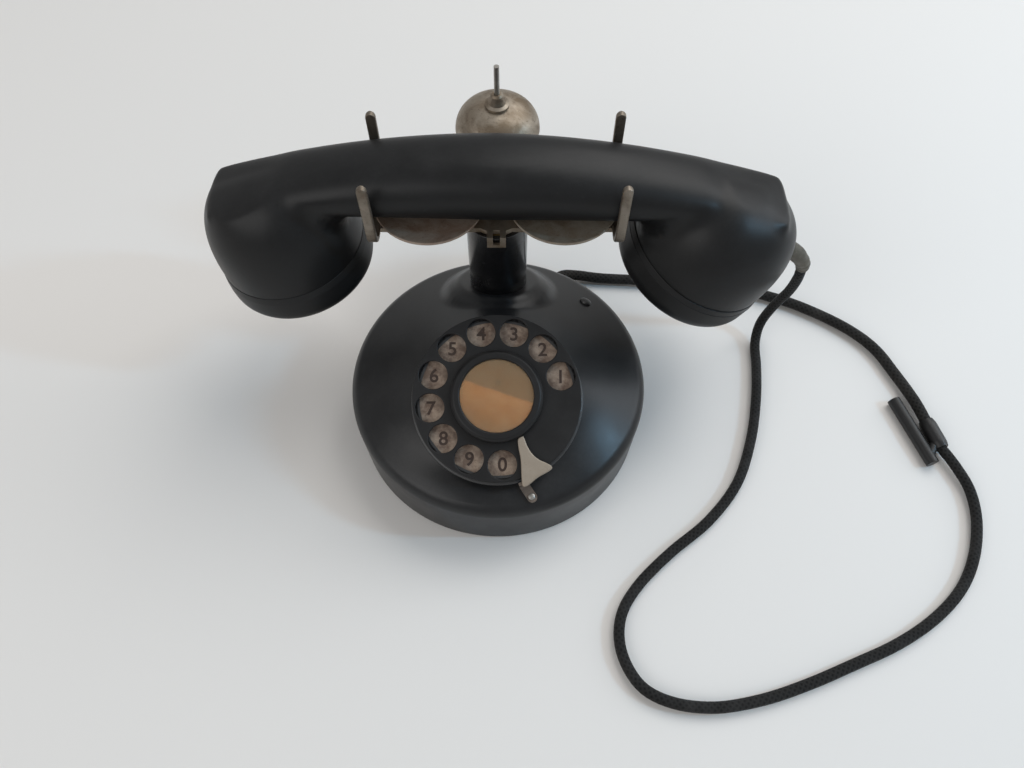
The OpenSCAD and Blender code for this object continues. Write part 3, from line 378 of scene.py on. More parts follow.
def lacquer(name, base, dust, dust_amount, r0, r1, coat=0.0, spec=0.3):
    """Black enamel or hard rubber: cloudy polish, fine scratches and a film of dust on what looks up."""
    a = Mat(name, base, r0, 0.0, Specular_IOR_Level=spec, Coat_Weight=coat, Coat_Roughness=0.15)
    cloud = a.noise(0.022, 5, 0.6)
    fine = a.noise(0.0016, 3, 0.7)
    film = a.times(a.ramp(cloud, [(0.35, 0.25), (0.7, 1.0)]), a.upward())
    film = a.times(film, a.ramp(fine, [(0.3, 0.55), (0.75, 1.0)]))
    film = a.times(film, dust_amount)
    col = a.mix(film, base, dust)
    specks = a.fade(a.noise(0.0021, 2, 0.5), 0.70, 0.78)
    col = a.mix(a.times(specks, 0.04), col, dust)
    a.colour(col)
    scratch = a.noise(0.004, 6, 0.75, a.coords((1, 14, 1), (0.3, 0.2, 0.7)))
    rg = a.plus(a.ramp(cloud, [(0.3, r0), (0.72, r1)]), a.times(scratch, 0.08))
    a.rough(rg)
    a.bump(a.plus(a.times(scratch, 0.5), a.times(fine, 0.5)), 0.10, 0.06)
    return a.m


def worn_metal(name, base, stain, deep, r0, r1, grain=(1, 1, 5), amount=1.0, metal=0.85):
    """Nickel on brass, or steel: tarnish in clouds, darker pits and fine rub marks."""
    a = Mat(name, base, r0, metal)
    cloud = a.noise(0.013, 6, 0.62, distort=0.6)
    pits = a.noise(0.0013, 4, 0.7)
    tarn = a.times(a.fade(cloud, 0.38, 0.62), amount)
    col = a.mix(tarn, base, stain)
    col = a.mix(a.times(a.fade(pits, 0.56, 0.72), 0.55 * amount), col, deep)
    a.colour(col)
    rub = a.noise(0.0035, 6, 0.75, a.coords(grain, (0.1, 0.25, 0.1)))
    a.rough(a.plus(a.ramp(cloud, [(0.3, r0), (0.7, r1)]), a.times(rub, 0.14)))
    a.bump(a.plus(a.times(pits, 0.6), a.times(rub, 0.4)), 0.18, 0.08)
    return a.m


ENAMEL = lacquer("black_enamel", (0.0085, 0.0088, 0.0098), (0.16, 0.16, 0.16), 0.13, 0.26, 0.38, spec=0.36)
DIAL_BLACK = lacquer("dial_black", (0.009, 0.0088, 0.0092), (0.13, 0.13, 0.13), 0.08, 0.34, 0.46, spec=0.32)
# the rim's base colour is lighter than the other blacks: a painted highlight for the light arc along the dial's
# rim
RIM_BLACK = lacquer("rim_black", (0.024, 0.0245, 0.026), (0.18, 0.18, 0.18), 0.16, 0.24, 0.34, spec=0.8)
RUBBER = lacquer("hard_rubber", (0.0085, 0.0086, 0.0090), (0.14, 0.14, 0.14), 0.09, 0.30, 0.42, spec=0.26)
COLUMN = lacquer("column_enamel", (0.006, 0.0062, 0.007), (0.12, 0.12, 0.12), 0.05, 0.14, 0.26,
                 coat=0.35, spec=0.35)
NICKEL = worn_metal("nickel", (0.36, 0.31, 0.25), (0.20, 0.155, 0.11), (0.06, 0.04, 0.028), 0.34, 0.52)
BOWL_LEFT = worn_metal("nickel_worn_left", (0.38, 0.31, 0.25), (0.25, 0.165, 0.12), (0.08, 0.05, 0.035),
                       0.42, 0.58, metal=0.45)
BOWL_RIGHT = worn_metal("nickel_worn_right", (0.36, 0.32, 0.26), (0.23, 0.175, 0.125), (0.07, 0.05, 0.035),
                        0.42, 0.58, metal=0.45)
STEEL = worn_metal("steel", (0.42, 0.41, 0.39), (0.26, 0.235, 0.20), (0.10, 0.08, 0.06), 0.28, 0.42, amount=0.7)
STOP = worn_metal("stop_plate", (0.36, 0.305, 0.245), (0.27, 0.22, 0.17), (0.16, 0.13, 0.10), 0.42, 0.55,
                  grain=(1, 1, 1), amount=0.5, metal=0.35)
STOP_TAB = worn_metal("stop_tab", (0.19, 0.155, 0.13), (0.125, 0.10, 0.082), (0.06, 0.045, 0.035), 0.36, 0.5,
                      metal=0.5)
BRASS = worn_metal("brass", (0.62, 0.47, 0.22), (0.36, 0.24, 0.10), (0.12, 0.07, 0.03), 0.26, 0.42)


def number_enamel():
    """Enamel of the number plate, browned in clouds and specked."""
    a = Mat("number_enamel", (0.30, 0.26, 0.22), 0.45)
    cloud = a.noise(0.0055, 5, 0.65)
    fine = a.noise(0.0011, 4, 0.7)
    col = a.mix(a.fade(cloud, 0.38, 0.62), (0.37, 0.285, 0.22), (0.15, 0.098, 0.07))
    col = a.mix(a.times(a.fade(fine, 0.52, 0.72), 0.5), col, (0.085, 0.055, 0.04))
    a.colour(col)
    a.rough(a.ramp(cloud, [(0.3, 0.32), (0.7, 0.55)]))
    a.bump(fine, 0.12, 0.05)
    return a.m


def flat_paint(name, colour, rough, size=0.0012, variation=0.35, bump=0.15):
    """One colour with fine darker mottling."""
    a = Mat(name, colour, rough)
    n = a.noise(size, 4, 0.65)
    dark = tuple(c * (1 - variation) for c in colour)
    a.colour(a.mix(a.fade(n, 0.35, 0.65), colour, dark))
    a.rough(a.ramp(a.noise(size * 6, 3, 0.6), [(0.3, rough * 0.85), (0.7, min(1.0, rough * 1.15))]))
    a.bump(n, bump, 0.06)
    return a.m


def celluloid():
    """Clear amber sheet of the window, slightly rubbed."""
    a = Mat("celluloid", (0.86, 0.45, 0.16), 0.08, 0.0, IOR=1.49, Transmission_Weight=0.9, Coat_Weight=0.2)
    n = a.noise(0.006, 4, 0.6)
    a.colour(a.mix(a.fade(n, 0.35, 0.65), (0.93, 0.72, 0.46), (0.88, 0.63, 0.36)))
    a.rough(a.ramp(a.noise(0.0015, 4, 0.7), [(0.3, 0.05), (0.75, 0.16)]))
    a.bump(n, 0.05, 0.1)
    return a.m


def card():
    """Paper card with a painted shadow of the window ring over its top part, ending at a slanting edge between
    the two tones, painted shade towards its lower edge, and a dark speck.
    """
    a = Mat("card", (0.80, 0.50, 0.26), 0.7)
    sep = a.node("SeparateXYZ")
    a.feed(sep.inputs[0], a.co.outputs["Object"])
    x, y = sep.outputs[0], sep.outputs[1]
    # distance up the dial from the edge of the painted shadow, in metres
    above_shadow_edge = a.plus(a.plus(a.times(x, SHADOW_SLANT), y), SHADOW_EDGE)
    above_shadow_edge = a.plus(above_shadow_edge, a.times(a.noise(0.004, 3, 0.6), 0.0016))
    # painted shadow of the window ring: the card turns to the shadowed tone above the slanting edge
    in_shadow = a.ramp(a.plus(a.times(above_shadow_edge, 300.0), 0.5), [(0.25, 0.0), (0.75, 1.0)], "EASE")
    cloud = a.noise(0.008, 5, 0.65)
    low = a.mix(a.fade(cloud, 0.35, 0.65), (0.46, 0.30, 0.175), (0.40, 0.235, 0.12))
    # painted shade: the lit part of the card darkens further down, towards the window's lower rim
    rim_shade = a.ramp(a.plus(a.times(above_shadow_edge, 55.0), 1.0), [(0.15, 0.0), (0.85, 1.0)])
    low = a.mix(rim_shade, (0.24, 0.15, 0.085), low)
    # the shadowed tone, mottled and darker still further up the dial: painted shadow
    high = a.mix(a.fade(cloud, 0.35, 0.65), (0.105, 0.062, 0.032), (0.08, 0.045, 0.022))
    deeper_shadow = a.ramp(a.times(above_shadow_edge, 70.0), [(0.0, 0.0), (1.0, 1.0)])
    high = a.mix(deeper_shadow, high, (0.06, 0.034, 0.017))
    col = a.mix(in_shadow, low, high)
    place = a.node("VectorMath", operation="DISTANCE")
    a.feed(place.inputs[0], a.co.outputs["Object"])
    place.inputs[1].default_value = tuple(np.array(DIAL @ Vector(CARD_SPECK)) * MM)
    speck = a.ramp(a.times(place.outputs["Value"], 1 / (SPECK_R * MM)), [(0.35, 1.0), (1.0, 0.0)])
    a.colour(a.mix(a.times(speck, 0.9), col, (0.01, 0.006, 0.004)))
    a.bump(a.noise(0.0006, 3, 0.6), 0.2, 0.04)
    return a.m


def braid(name, turns, pitch, thread, light):
    """Plaited cotton over a round cord: crossing strands from the tube's own length and turn coordinates."""
    a = Mat(name, thread, 0.8, 0.0, Specular_IOR_Level=0.2, Sheen_Weight=0.06, Sheen_Roughness=0.5)
    sep = a.node("SeparateXYZ")
    a.feed(sep.inputs[0], a.co.outputs["UV"])
    u = a.math("DIVIDE", sep.outputs[0], pitch)
    v = a.times(sep.outputs[1], turns)
    p = a.math("SINE", a.times(a.plus(u, v), 2 * math.pi))
    q = a.math("SINE", a.times(a.math("SUBTRACT", u, v), 2 * math.pi))
    weave = a.times(a.plus(a.math("MAXIMUM", p, q), 1.0), 0.5)
    fuzz = a.noise(0.0004, 4, 0.7)
    soil = a.noise(0.012, 4, 0.6)
    gap_shade, soiled = tuple(c * 0.35 for c in thread), tuple(c * 2.2 for c in light)
    # the gaps between the strands are darkened: painted shade in the weave
    col = a.mix(a.times(weave, a.ramp(fuzz, [(0.2, 0.5), (0.8, 1.0)])), gap_shade, light)
    col = a.mix(a.times(a.fade(soil, 0.45, 0.75), 0.35), col, soiled)
    a.colour(col)
    a.bump(a.plus(weave, a.times(fuzz, 0.4)), 0.5, 0.35)
    return a.m


def boot():
    """Aged olive-brown rubber of the elbow."""
    a = Mat("boot_rubber", (0.30, 0.27, 0.20), 0.5)
    n = a.noise(0.006, 5, 0.65)
    f = a.noise(0.001, 3, 0.6)
    col = a.mix(a.fade(n, 0.35, 0.65), (0.112, 0.10, 0.075), (0.06, 0.052, 0.038))
    a.colour(a.mix(a.times(a.fade(f, 0.5, 0.75), 0.4), col, (0.04, 0.034, 0.025)))
    a.rough(a.ramp(n, [(0.3, 0.42), (0.7, 0.62)]))
    a.bump(f, 0.2, 0.08)
    return a.m


NUMBER = number_enamel()
DIGIT = flat_paint("digit_paint", (0.050, 0.026, 0.017), 0.5)
CARD, WINDOW = card(), celluloid()
FELT = flat_paint("felt", (0.035, 0.045, 0.03), 0.95, 0.0007, 0.6, 0.6)
INSULATION = flat_paint("insulation", (0.010, 0.010, 0.0105), 0.42, 0.0018, 0.4, 0.12)
WINDING = flat_paint("coil_cover", (0.10, 0.045, 0.022), 0.4, 0.0009, 0.5, 0.3)
BRAID_H = braid("cord_braid_handset", 6, 2.6, (0.008, 0.008, 0.0085), (0.024, 0.0235, 0.023))
BRAID_B = braid("cord_braid_base", 7, 2.9, (0.008, 0.008, 0.008), (0.027, 0.0255, 0.024))
BOOT = boot()
FORK = worn_metal("nickel_fork", (0.27, 0.235, 0.195), (0.16, 0.13, 0.10), (0.05, 0.036, 0.026), 0.32, 0.5)

# ---------------------------------------------------------------- cords and what is on them
HANDSET_ROUTE = [(142.6, 41.4, 62), (143.8, 42.4, 52), (144.2, 45, 38), (141.5, 47, 23), (137.5, 44.5, 10),
                 (135.2, 36, 3.4), (134, 22, 2.8), (131, 3, 2.8), (125, -20, 2.8), (115, -43, 2.8),
                 (99, -62, 2.8), (80, -77, 2.8), (64, -92, 2.8), (55, -106, 2.8), (54, -121, 2.8),
                 (61, -135, 2.8), (74, -142, 2.8), (92, -144, 2.8), (112, -141, 2.8), (132, -135, 2.8),
                 (153, -127, 2.8), (175, -118, 2.8), (194, -107, 2.8), (209, -94, 2.8), (219, -79, 2.8),
                 (225, -62, 2.8), (226, -47, 3), (222.4, -35, 3.6), (217.6, -25, 4)]
BASE_ROUTE = [(213.6, -10, 4), (211, 2, 3.4), (205, 18, 3), (198, 33, 3), (187, 45, 3), (171, 56, 3),
              (153, 65, 3), (130, 72, 3), (104, 76, 3), (78, 78, 3), (56, 79.4, 3), (42, 80.4, 4.4),
              (33.4, 77.6, 7.4), (28.1, 69.54, 8.5)]
BRAID_FIT = 0.985           # the braid's radius against that of the solid cord


def unit(v):
    v = np.asarray(v, float)
    return v / np.linalg.norm(v)


cord_start = unit(np.subtract(HANDSET_ROUTE[1], HANDSET_ROUTE[0]))
clip_line = unit(np.subtract(BASE_ROUTE[0], HANDSET_ROUTE[-1]))
bush_line = np.array([-math.cos(rad(BUSH_TURN)), -math.sin(rad(BUSH_TURN)), 0])


def free_cord(name, route, d, first, last, mat, node):
    """A cord of diameter d along its route, its end directions given."""
    path = spline(route, 6)
    ob = tube(name, path, d / 2 * BRAID_FIT, mat, 20, first, last)
    put(ob, "base", "cord_braid", node)


def clip_piece():
    """Sleeve over both cords' ends, a short stub beside it and the link between the two."""
    a, b = np.array(HANDSET_ROUTE[-1]), np.array(BASE_ROUTE[0])
    ts = np.linspace(0, 1, 14)
    path = [a + (b - a) * t for t in ts]
    rr = [3.4 + 0.58 * min(1, 6 * t, 6 * (1 - t)) for t in ts]
    body = tube("clip_sleeve", path, rr, INSULATION, 24, clip_line, clip_line)
    p0, p1 = np.array((201.5, 0, 3.2)), np.array((211, -30.5, 3.2))
    path = spline([p0 - unit(p1 - p0) * 2.6, p0, (p0 + p1) / 2, p1, p1 + unit(p1 - p0) * 2.6], 8)
    s = np.linspace(-1, 1, len(path))
    rr = 3.1 * np.sqrt(np.clip(1 - np.clip((np.abs(s) - 0.82) / 0.18, 0, 1) ** 2, 0.02, 1))
    stub = tube("clip_stub", path, rr, INSULATION, 20)
    q0, q1 = p1 + unit(p0 - p1) * 1.0, a + 5 * clip_line
    link = tube("clip_link", spline([q0, q0 * 0.6 + q1 * 0.4, q0 * 0.3 + q1 * 0.7, q1], 5), 2.2, INSULATION, 16)
    return [put(body, "base", "insulation", "cord_clip"), put(stub, "base", "insulation"),
            put(link, "base", "insulation")]


clips = clip_piece()
free_cord("handset_cord_braid", HANDSET_ROUTE, HANDSET_CORD_D, cord_start, clip_line, BRAID_H, "handset_cord")
free_cord("base_cord_braid", BASE_ROUTE, BASE_CORD_D, clip_line, bush_line, BRAID_B, "base_cord")

# ---------------------------------------------------------------- drum
shoulder_turn = rad(90 - BRIM_SLOPE)
brim_r = BASE_R - SHOULDER_R + SHOULDER_R * math.cos(shoulder_turn)
brim_z = WALL_H + SHOULDER_R * math.sin(shoulder_turn)


def rim_point(a, r=RIM_R, down=0.8):
    """A point of a ring round the dial's axis, below the plane of its rim."""
    sn, cs = math.sin(rad(TILT)), math.cos(rad(TILT))
    return np.array([r * math.cos(a), -DIAL_Y + r * math.sin(a) * cs + down * sn,
                     DIAL_Z + r * math.sin(a) * sn - down * cs])


def top_point(a, u):
    """The drum's top at angle a, from its brim (u = 0) to the dial's rim (u = 1)."""
    b = np.array([brim_r * math.cos(a), brim_r * math.sin(a), brim_z])
    c = rim_point(a)
    inward = (b[0] - c[0]) * math.cos(a) + (b[1] - c[1]) * math.sin(a)
    mid = min(b[2] + inward / 2 * math.tan(rad(BRIM_SLOPE)), c[2])
    p = b + u * (c - b)
    p[2] = (1 - u) ** 2 * b[2] + 2 * u * (1 - u) * mid + u * u * c[2]
    return p


back_low, back_high = top_point(rad(90), 0), top_point(rad(90), 1)
back_slope = math.atan2(back_high[2] - back_low[2], back_low[1] - back_high[1])
stem_foot = np.array([0, STEM_Y, back_low[2] + (back_low[1] - STEM_Y) * math.tan(back_slope)])
slope_out = np.array([0, math.sin(back_slope), math.cos(back_slope)])
COLLAR = [(0, 2.4), (18.8, 2.4), (19.6, 2.2), (20.4, 1.75), (21.4, 1.2), (22.6, 0.65), (23.8, 0.1), (25, -0.9),
          (26.4, -2.6), (27.5, -4.6), (60, -60)]
COLLAR_REACH, COLLAR_BLEND = 30, 1.3
collar_r, collar_z = np.array(COLLAR).T


def collared(p):
    """Raises the drum's top to the low collar round the column, with a soft join."""
    d = p - stem_foot
    h = float(d @ slope_out)
    r = float(np.linalg.norm(d - h * slope_out))
    if r > COLLAR_REACH:
        return p
    c = float(np.interp(r, collar_r, collar_z))
    top = max(h, c) + COLLAR_BLEND * max(0.0, 1 - abs(h - c) / COLLAR_BLEND / 2) ** 2 * 0.5
    return p + slope_out * (top - h)


def drum():
    """Foot and wall, shoulder, top with its collar, and the seat of the dial, from bottom to top."""
    n, rows = 256, []
    turns = [2 * math.pi * k / n for k in range(n)]
    for r, z in ((66.7, 6), (66.6, 1.2), (66.8, 1.0), (68.7, 1.0), (69.0, 1.3), (69.3, 12), (69.55, 20)):
        rows.append(level_ring(r, z, n))
    for s in np.linspace(0, 1, 12):
        a = shoulder_turn * s
        r, z = BASE_R - SHOULDER_R + SHOULDER_R * math.cos(a), WALL_H + SHOULDER_R * math.sin(a)
        rows.append(level_ring(r, z, n))
    for u in np.linspace(0, 1, 96)[1:]:
        rows.append([tuple(collared(top_point(a, u))) for a in turns])
    for r, down in ((36.6, 0.8), (36.4, 1.0), (36.35, 4)):
        rows.append([tuple(rim_point(a, r, down)) for a in turns])
    return make("drum", [v for row in rows for v in row], grid_faces(len(rows), n), ENAMEL, 40)


put(drum(), "base", "black_enamel", "base_shell")

# column, whose bore is modelled from its mouth down to 60 mm
STEM_FOOT, STEM_MOUTH = 28.6, 96
column = rounded([(STEM_BORE, 60), (STEM_BORE, STEM_MOUTH), (STEM_R, STEM_MOUTH), (STEM_R, STEM_FOOT),
                  (STEM_BORE, STEM_FOOT)], 0.4)
put(lathe("column", column, COLUMN, 96, AT_STEM), "base", "black_enamel", "stem_tube")

# ---------------------------------------------------------------- dial
paint(DIAL_BLACK, "dial_case")
paint(NUMBER, "number_plate")
rim = rounded([(34, 4.2), (36.35, 4.2), (36.4, 0.35), (37.55, 0.35), (RIM_R, -0.1), (RIM_R, -0.8), (36.2, -0.8),
               (36.2, -6)], 0.25)
put(lathe("dial_rim", rim, RIM_BLACK, 192, DIAL), "base", "black_enamel")

hole_turns = [rad(FIRST_HOLE + HOLE_STEP * k) for k in range(10)]
holes = [(HOLE_RING * math.cos(a), HOLE_RING * math.sin(a)) for a in hole_turns]


def finger_wheel():
    """The wheel's plate with its ten holes, and the lip that runs down from its edge."""
    loops = [circle(WHEEL_R, 160)] + [circle(HOLE_R, 56, x, y) for x, y in holes] + [circle(WHEEL_BORE, 64)]
    w = outline_plate("finger_wheel_plate", loops, WHEEL_BACK, WHEEL_FRONT, 0.42, DIAL_BLACK, DIAL)
    put(w, "dial", "black_enamel", "finger_wheel")
    lip = rounded([(35.9, 6.6), (35.9, 4.9), (WHEEL_R, 4.9), (WHEEL_R, 6.9), (36.6, 6.9)], 0.3)
    put(lathe("finger_wheel_lip", lip, DIAL_BLACK, 160, DIAL), "dial", "black_enamel")


finger_wheel()
RING = rounded([(14, WHEEL_FRONT), (19.4, WHEEL_FRONT), (20.2, 8.1), (20.2, 10.5), (18.8, 11.9), (16.5, 11.9),
                (16.0, 11.4), (16.0, 9.4)], 0.45)
put(lathe("window_ring", RING, DIAL_BLACK, 128, DIAL), "dial", "black_enamel", "card_ring")
paint(CARD, "number_card")
dome = [(15.9 * (1 - t), 10.7 + 1.4 * (1 - (1 - t) ** 2)) for t in np.linspace(0, 1, 14)]
put(lathe("window", [(0, 9.41), (17.0, 9.41), (17.0, 10.7)] + dome, WINDOW, 96, DIAL),
    "dial", "celluloid", "card_window")


def digits():
    """One digit under each finger hole, 1 to 9 and 0."""
    for k, (x, y) in enumerate(holes):
        cu = bpy.data.curves.new("digit", "FONT")
        cu.body = str((k + 1) % 10)
        cu.size, cu.align_x, cu.align_y = DIGIT_SIZE, "CENTER", "CENTER"
        cu.offset = 0.16
        ob = bpy.data.objects.new("digit_tmp", cu)
        bpy.context.scene.collection.objects.link(ob)
        bpy.context.view_layer.update()
        me = ob.evaluated_get(bpy.context.evaluated_depsgraph_get()).to_mesh()
        vs = [(q.co.x + x, q.co.y + y, DIGIT_Z) for q in me.vertices]
        fs = [tuple(q.vertices) for q in me.polygons]
        ob.to_mesh_clear()
        bpy.data.objects.remove(ob)
        d = make("digit_%d" % ((k + 1) % 10), vs, fs, DIGIT, 40, matrix=DIAL)
        put(d, "base", "number_enamel")


digits()

STOP_LINE = [(11.3, -17.7), (12, -19.4), (13.2, -22.3), (15.3, -25.4), (18, -27.6), (21, -29), (23.3, -30.4),
             (22.6, -31.8), (17.4, -34.8), (14, -37.6), (11.6, -38.6), (11, -36), (10.6, -27.5), (9.6, -22),
             (9.5, -18.7)]
# the horn wraps the solid's flat plate, so that the two don't share a surface
stop = spline([(x, y, 0) for x, y in STOP_LINE + STOP_LINE[:1]], 4)[:-1]
horn = outline_plate("finger_stop_horn", [[(p[0], p[1]) for p in stop]], 8.4, 10.0, 0.5, STOP, DIAL, grow=0.3)
put(horn, "base", "stop_plate")
bevel_node("finger_stop", 0.25, STOP_TAB)
bevel_node("stop_screw", 0.15, STEEL)

# ---------------------------------------------------------------- cradle
def bowl(name, x, mat):
    """A shallow round bowl at x, of even thickness, with a rounded rim."""
    inner = [(BOWL_R * t, REST_Z - BOWL_DEPTH * (1 - t * t)) for t in np.linspace(0, 1, 22)]
    outer = [(r, z - BOWL_T) for r, z in inner[::-1]]
    rim = [(23.45, 104.9), (23.6, 104.4), (23.45, 103.95)]
    return put(lathe(name, inner + rim + outer, mat, 96, Matrix.Translation((x, STEM_Y, 0))), "cradle", "nickel")


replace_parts(bowl("left_bowl", -BOWL_X, BOWL_LEFT), "cradle_bowls")
bowl("right_bowl", BOWL_X, BOWL_RIGHT)


def fork(name, x, node):
    """A U-shaped strap at x, seen along x: prong, bend and foot of one side, then the same mirrored."""
    w, t = FORK_W, FORK_T
    prong, foot, bend = FORK_Y - t / 2, FORK_FOOT + t / 2, 5 + t / 2
    round_z = REST_Z + FORK_H - w / 2       # where the prong's round end begins
    pts = [(prong, round_z + w / 2 * math.cos(rad(a))) for a in np.linspace(4, 90, 10)]
    pts += [(prong, z) for z in np.linspace(round_z, foot + bend, 14)[1:]]
    pts += [(prong - bend + bend * math.cos(rad(a)), foot + bend - bend * math.sin(rad(a)))
            for a in np.linspace(0, 90, 10)[1:]]
    pts += [(y, foot) for y in np.linspace(12, 0, 6)]
    path = np.array(pts + [(-y, z) for y, z in pts[::-1][1:]])
    tan = np.gradient(path, axis=0)
    tan /= np.linalg.norm(tan, axis=1)[:, None]
    verts = []
    for (y, z), (ty, tz) in zip(path, tan):
        e = max(0.0, (z - round_z) / (w / 2))
        k = max(math.sqrt(max(0.0, 1 - e * e)), 0.07)       # narrows the strap towards the prong's round end
        half = w / 2 * k
        sec = rounded([(0, -t / 2), (half, -t / 2), (half, t / 2), (-half, t / 2), (-half, -t / 2), (0, -t / 2)],
                      0.7 * k + 0.05)[:-1]
        verts += [(x + sx, STEM_Y + y + tz * sn, z - ty * sn) for sx, sn in sec]
    faces = grid_faces(len(path), len(sec), first=True, last=True)
    put(make(name, verts, faces, FORK, 50), "cradle", "nickel", node)


fork("left_fork_strap", -FORK_X, "left_fork")
fork("right_fork_strap", FORK_X, "right_fork")
bevel_node("cradle_bridge", 0.4, NICKEL)
paint(STEEL, "cradle_rod")

# ---------------------------------------------------------------- bell
def bell_side(t):
    """The bell's curve from its lip to the edge of its hole, t mm inside the outer surface."""
    curve = [((BELL_R - t) * max(0.0, math.cos(a)) ** 0.72, (BELL_H - t) * math.sin(a) ** 0.95)
             for a in np.linspace(0, math.pi / 2, 28)]
    return [p for p in curve if p[0] > 1.5]


lip = [(18.9, 0), (18.2, 0)]
bell = [(1.35, BELL_H - BELL_T), (1.35, BELL_H)] + bell_side(0)[::-1] + lip + bell_side(BELL_T)
put(lathe("bell_shell", bell, NICKEL, 128, Matrix.Translation((0, BELL_Y, BELL_Z)), close=True),
    "base", "nickel", "bell")
bevel_node("bell_bracket", 0.4, NICKEL)
bevel_node("bell_nut", 0.3, NICKEL)
paint(STEEL, "bell_post", "bell_striker")
paint(WINDING, "bell_coil")

# ---------------------------------------------------------------- handset
def back_z(x):
    """Height of the handset's arched back."""
    return GRIP_T - ARCH_R + math.sqrt(ARCH_R ** 2 - x * x)


def smooth_step(t):
    t = min(1.0, max(0.0, t))
    return t * t * (3 - 2 * t)


def handle_mesh():
    """Arched bar with a flat underside; over the cups it deepens and turns square, so that it runs into them."""
    rings, n = 175, 96
    verts = []
    for x in np.linspace(-BAR_LEFT, BAR_RIGHT, rings):
        hy = BAR_HALF * (1 - 0.057 * (abs(x) / 40) ** 1.2)
        end = BAR_RIGHT if x > 0 else BAR_LEFT
        hy *= max(0.3, 1 - (max(0.0, abs(x) - end + 1.8) / 1.9) ** 2.2) ** (1 / 2.2)
        over = smooth_step((abs(x) - 84) / 12)
        top = back_z(x) - 0.8 * over
        mid = (back_z(x) + GRIP_B) / 2
        deep = mid - GRIP_B + 9 * smooth_step((abs(x) - 92) / 24)
        for k in range(n):
            a = 2 * math.pi * k / n
            c, s = math.cos(a), math.sin(a)
            e = 2 / (2.3 + (0.5 * over if s < 0 else 0.0))
            z = mid + (top - mid if s > 0 else deep) * math.copysign(abs(s) ** e, s)
            verts.append((x, hy * math.copysign(abs(c) ** e, c), z))
    return make("handle_part", verts, grid_faces(rings, n, first=True, last=True), matrix=HANDSET)


def cup_mesh(name, r, h, m, outer, lean, roll, crown, front):
    """A cup that leans as it rises, its top cut off by the arched, crowned back of the handset.

    m is the frame of its cap, outer the side (-1 or 1) on which it is fuller. Its axis moves by lean and roll
    up to its top. crown and front are the radii to which the back rounds over, at the rear and at the front.
    """
    rings, n = 64, 144
    turns = [2 * math.pi * k / n for k in range(n)]
    full = [2.15 + 1.0 * max(0.0, outer * math.cos(a)) ** 2 for a in turns]
    verts = [(0, 0, CUP_FOOT - 0.4)] * n + level_ring(r - 0.4, CUP_FOOT - 0.4, n)
    for u in np.sin(np.linspace(0, math.pi / 2, rings)):
        for a, e in zip(turns, full):
            rr = max(0.05, r * (1 - u ** e) ** (1 / e))
            verts.append((lean * u ** 1.6 + rr * math.cos(a), roll * u ** 1.6 + rr * math.sin(a),
                          CUP_FOOT + u * (h - CUP_FOOT)))
    to_handset = np.array(HANDSET.inverted() @ m)
    v = np.array(verts) @ to_handset[:3, :3].T + to_handset[:3, 3]
    c0 = GRIP_T - ARCH_R
    for p in v:
        cr = crown if p[1] > roll else front
        far = ARCH_R - cr
        d = math.hypot(p[0], p[2] - c0)
        over = math.hypot(d - far, p[1] - roll)
        if d > far and over > cr:
            across = cr / over
            along = (far + (d - far) * across) / d
            p[0], p[1], p[2] = p[0] * along, roll + (p[1] - roll) * across, c0 + (p[2] - c0) * along
    return make(name, v, grid_faces(rings + 2, n, last=True), matrix=HANDSET)


def join(objs, name):
    """One object from the meshes of several, which go."""
    bm = bmesh.new()
    for o in objs:
        bm.from_mesh(o.data)
        bpy.data.objects.remove(o)
    me = bpy.data.meshes.new(name)
    bm.to_mesh(me)
    bm.free()
    ob = bpy.data.objects.new(name, me)
    bpy.context.scene.collection.objects.link(ob)
    return ob


def apply_all(ob):
    """Applies the object's modifiers."""
    bpy.context.view_layer.update()
    me = bpy.data.meshes.new_from_object(ob.evaluated_get(bpy.context.evaluated_depsgraph_get()))
    ob.modifiers.clear()
    ob.data = me


def remesh(ob, voxel, offset, soften):
    """Voxel remesh, then moves the surface along its normals, then smooths it."""
    m = ob.modifiers.new("remesh", "REMESH")
    m.mode, m.voxel_size = "VOXEL", voxel * MM
    apply_all(ob)
    if offset:
        co, no = np.empty(len(ob.data.vertices) * 3), np.empty(len(ob.data.vertices) * 3)
        ob.data.vertices.foreach_get("co", co)
        ob.data.vertex_normals.foreach_get("vector", no)
        ob.data.vertices.foreach_set("co", co + no * offset * MM)
    m = ob.modifiers.new("soften", "SMOOTH")
    m.factor, m.iterations = 0.5, soften
    apply_all(ob)


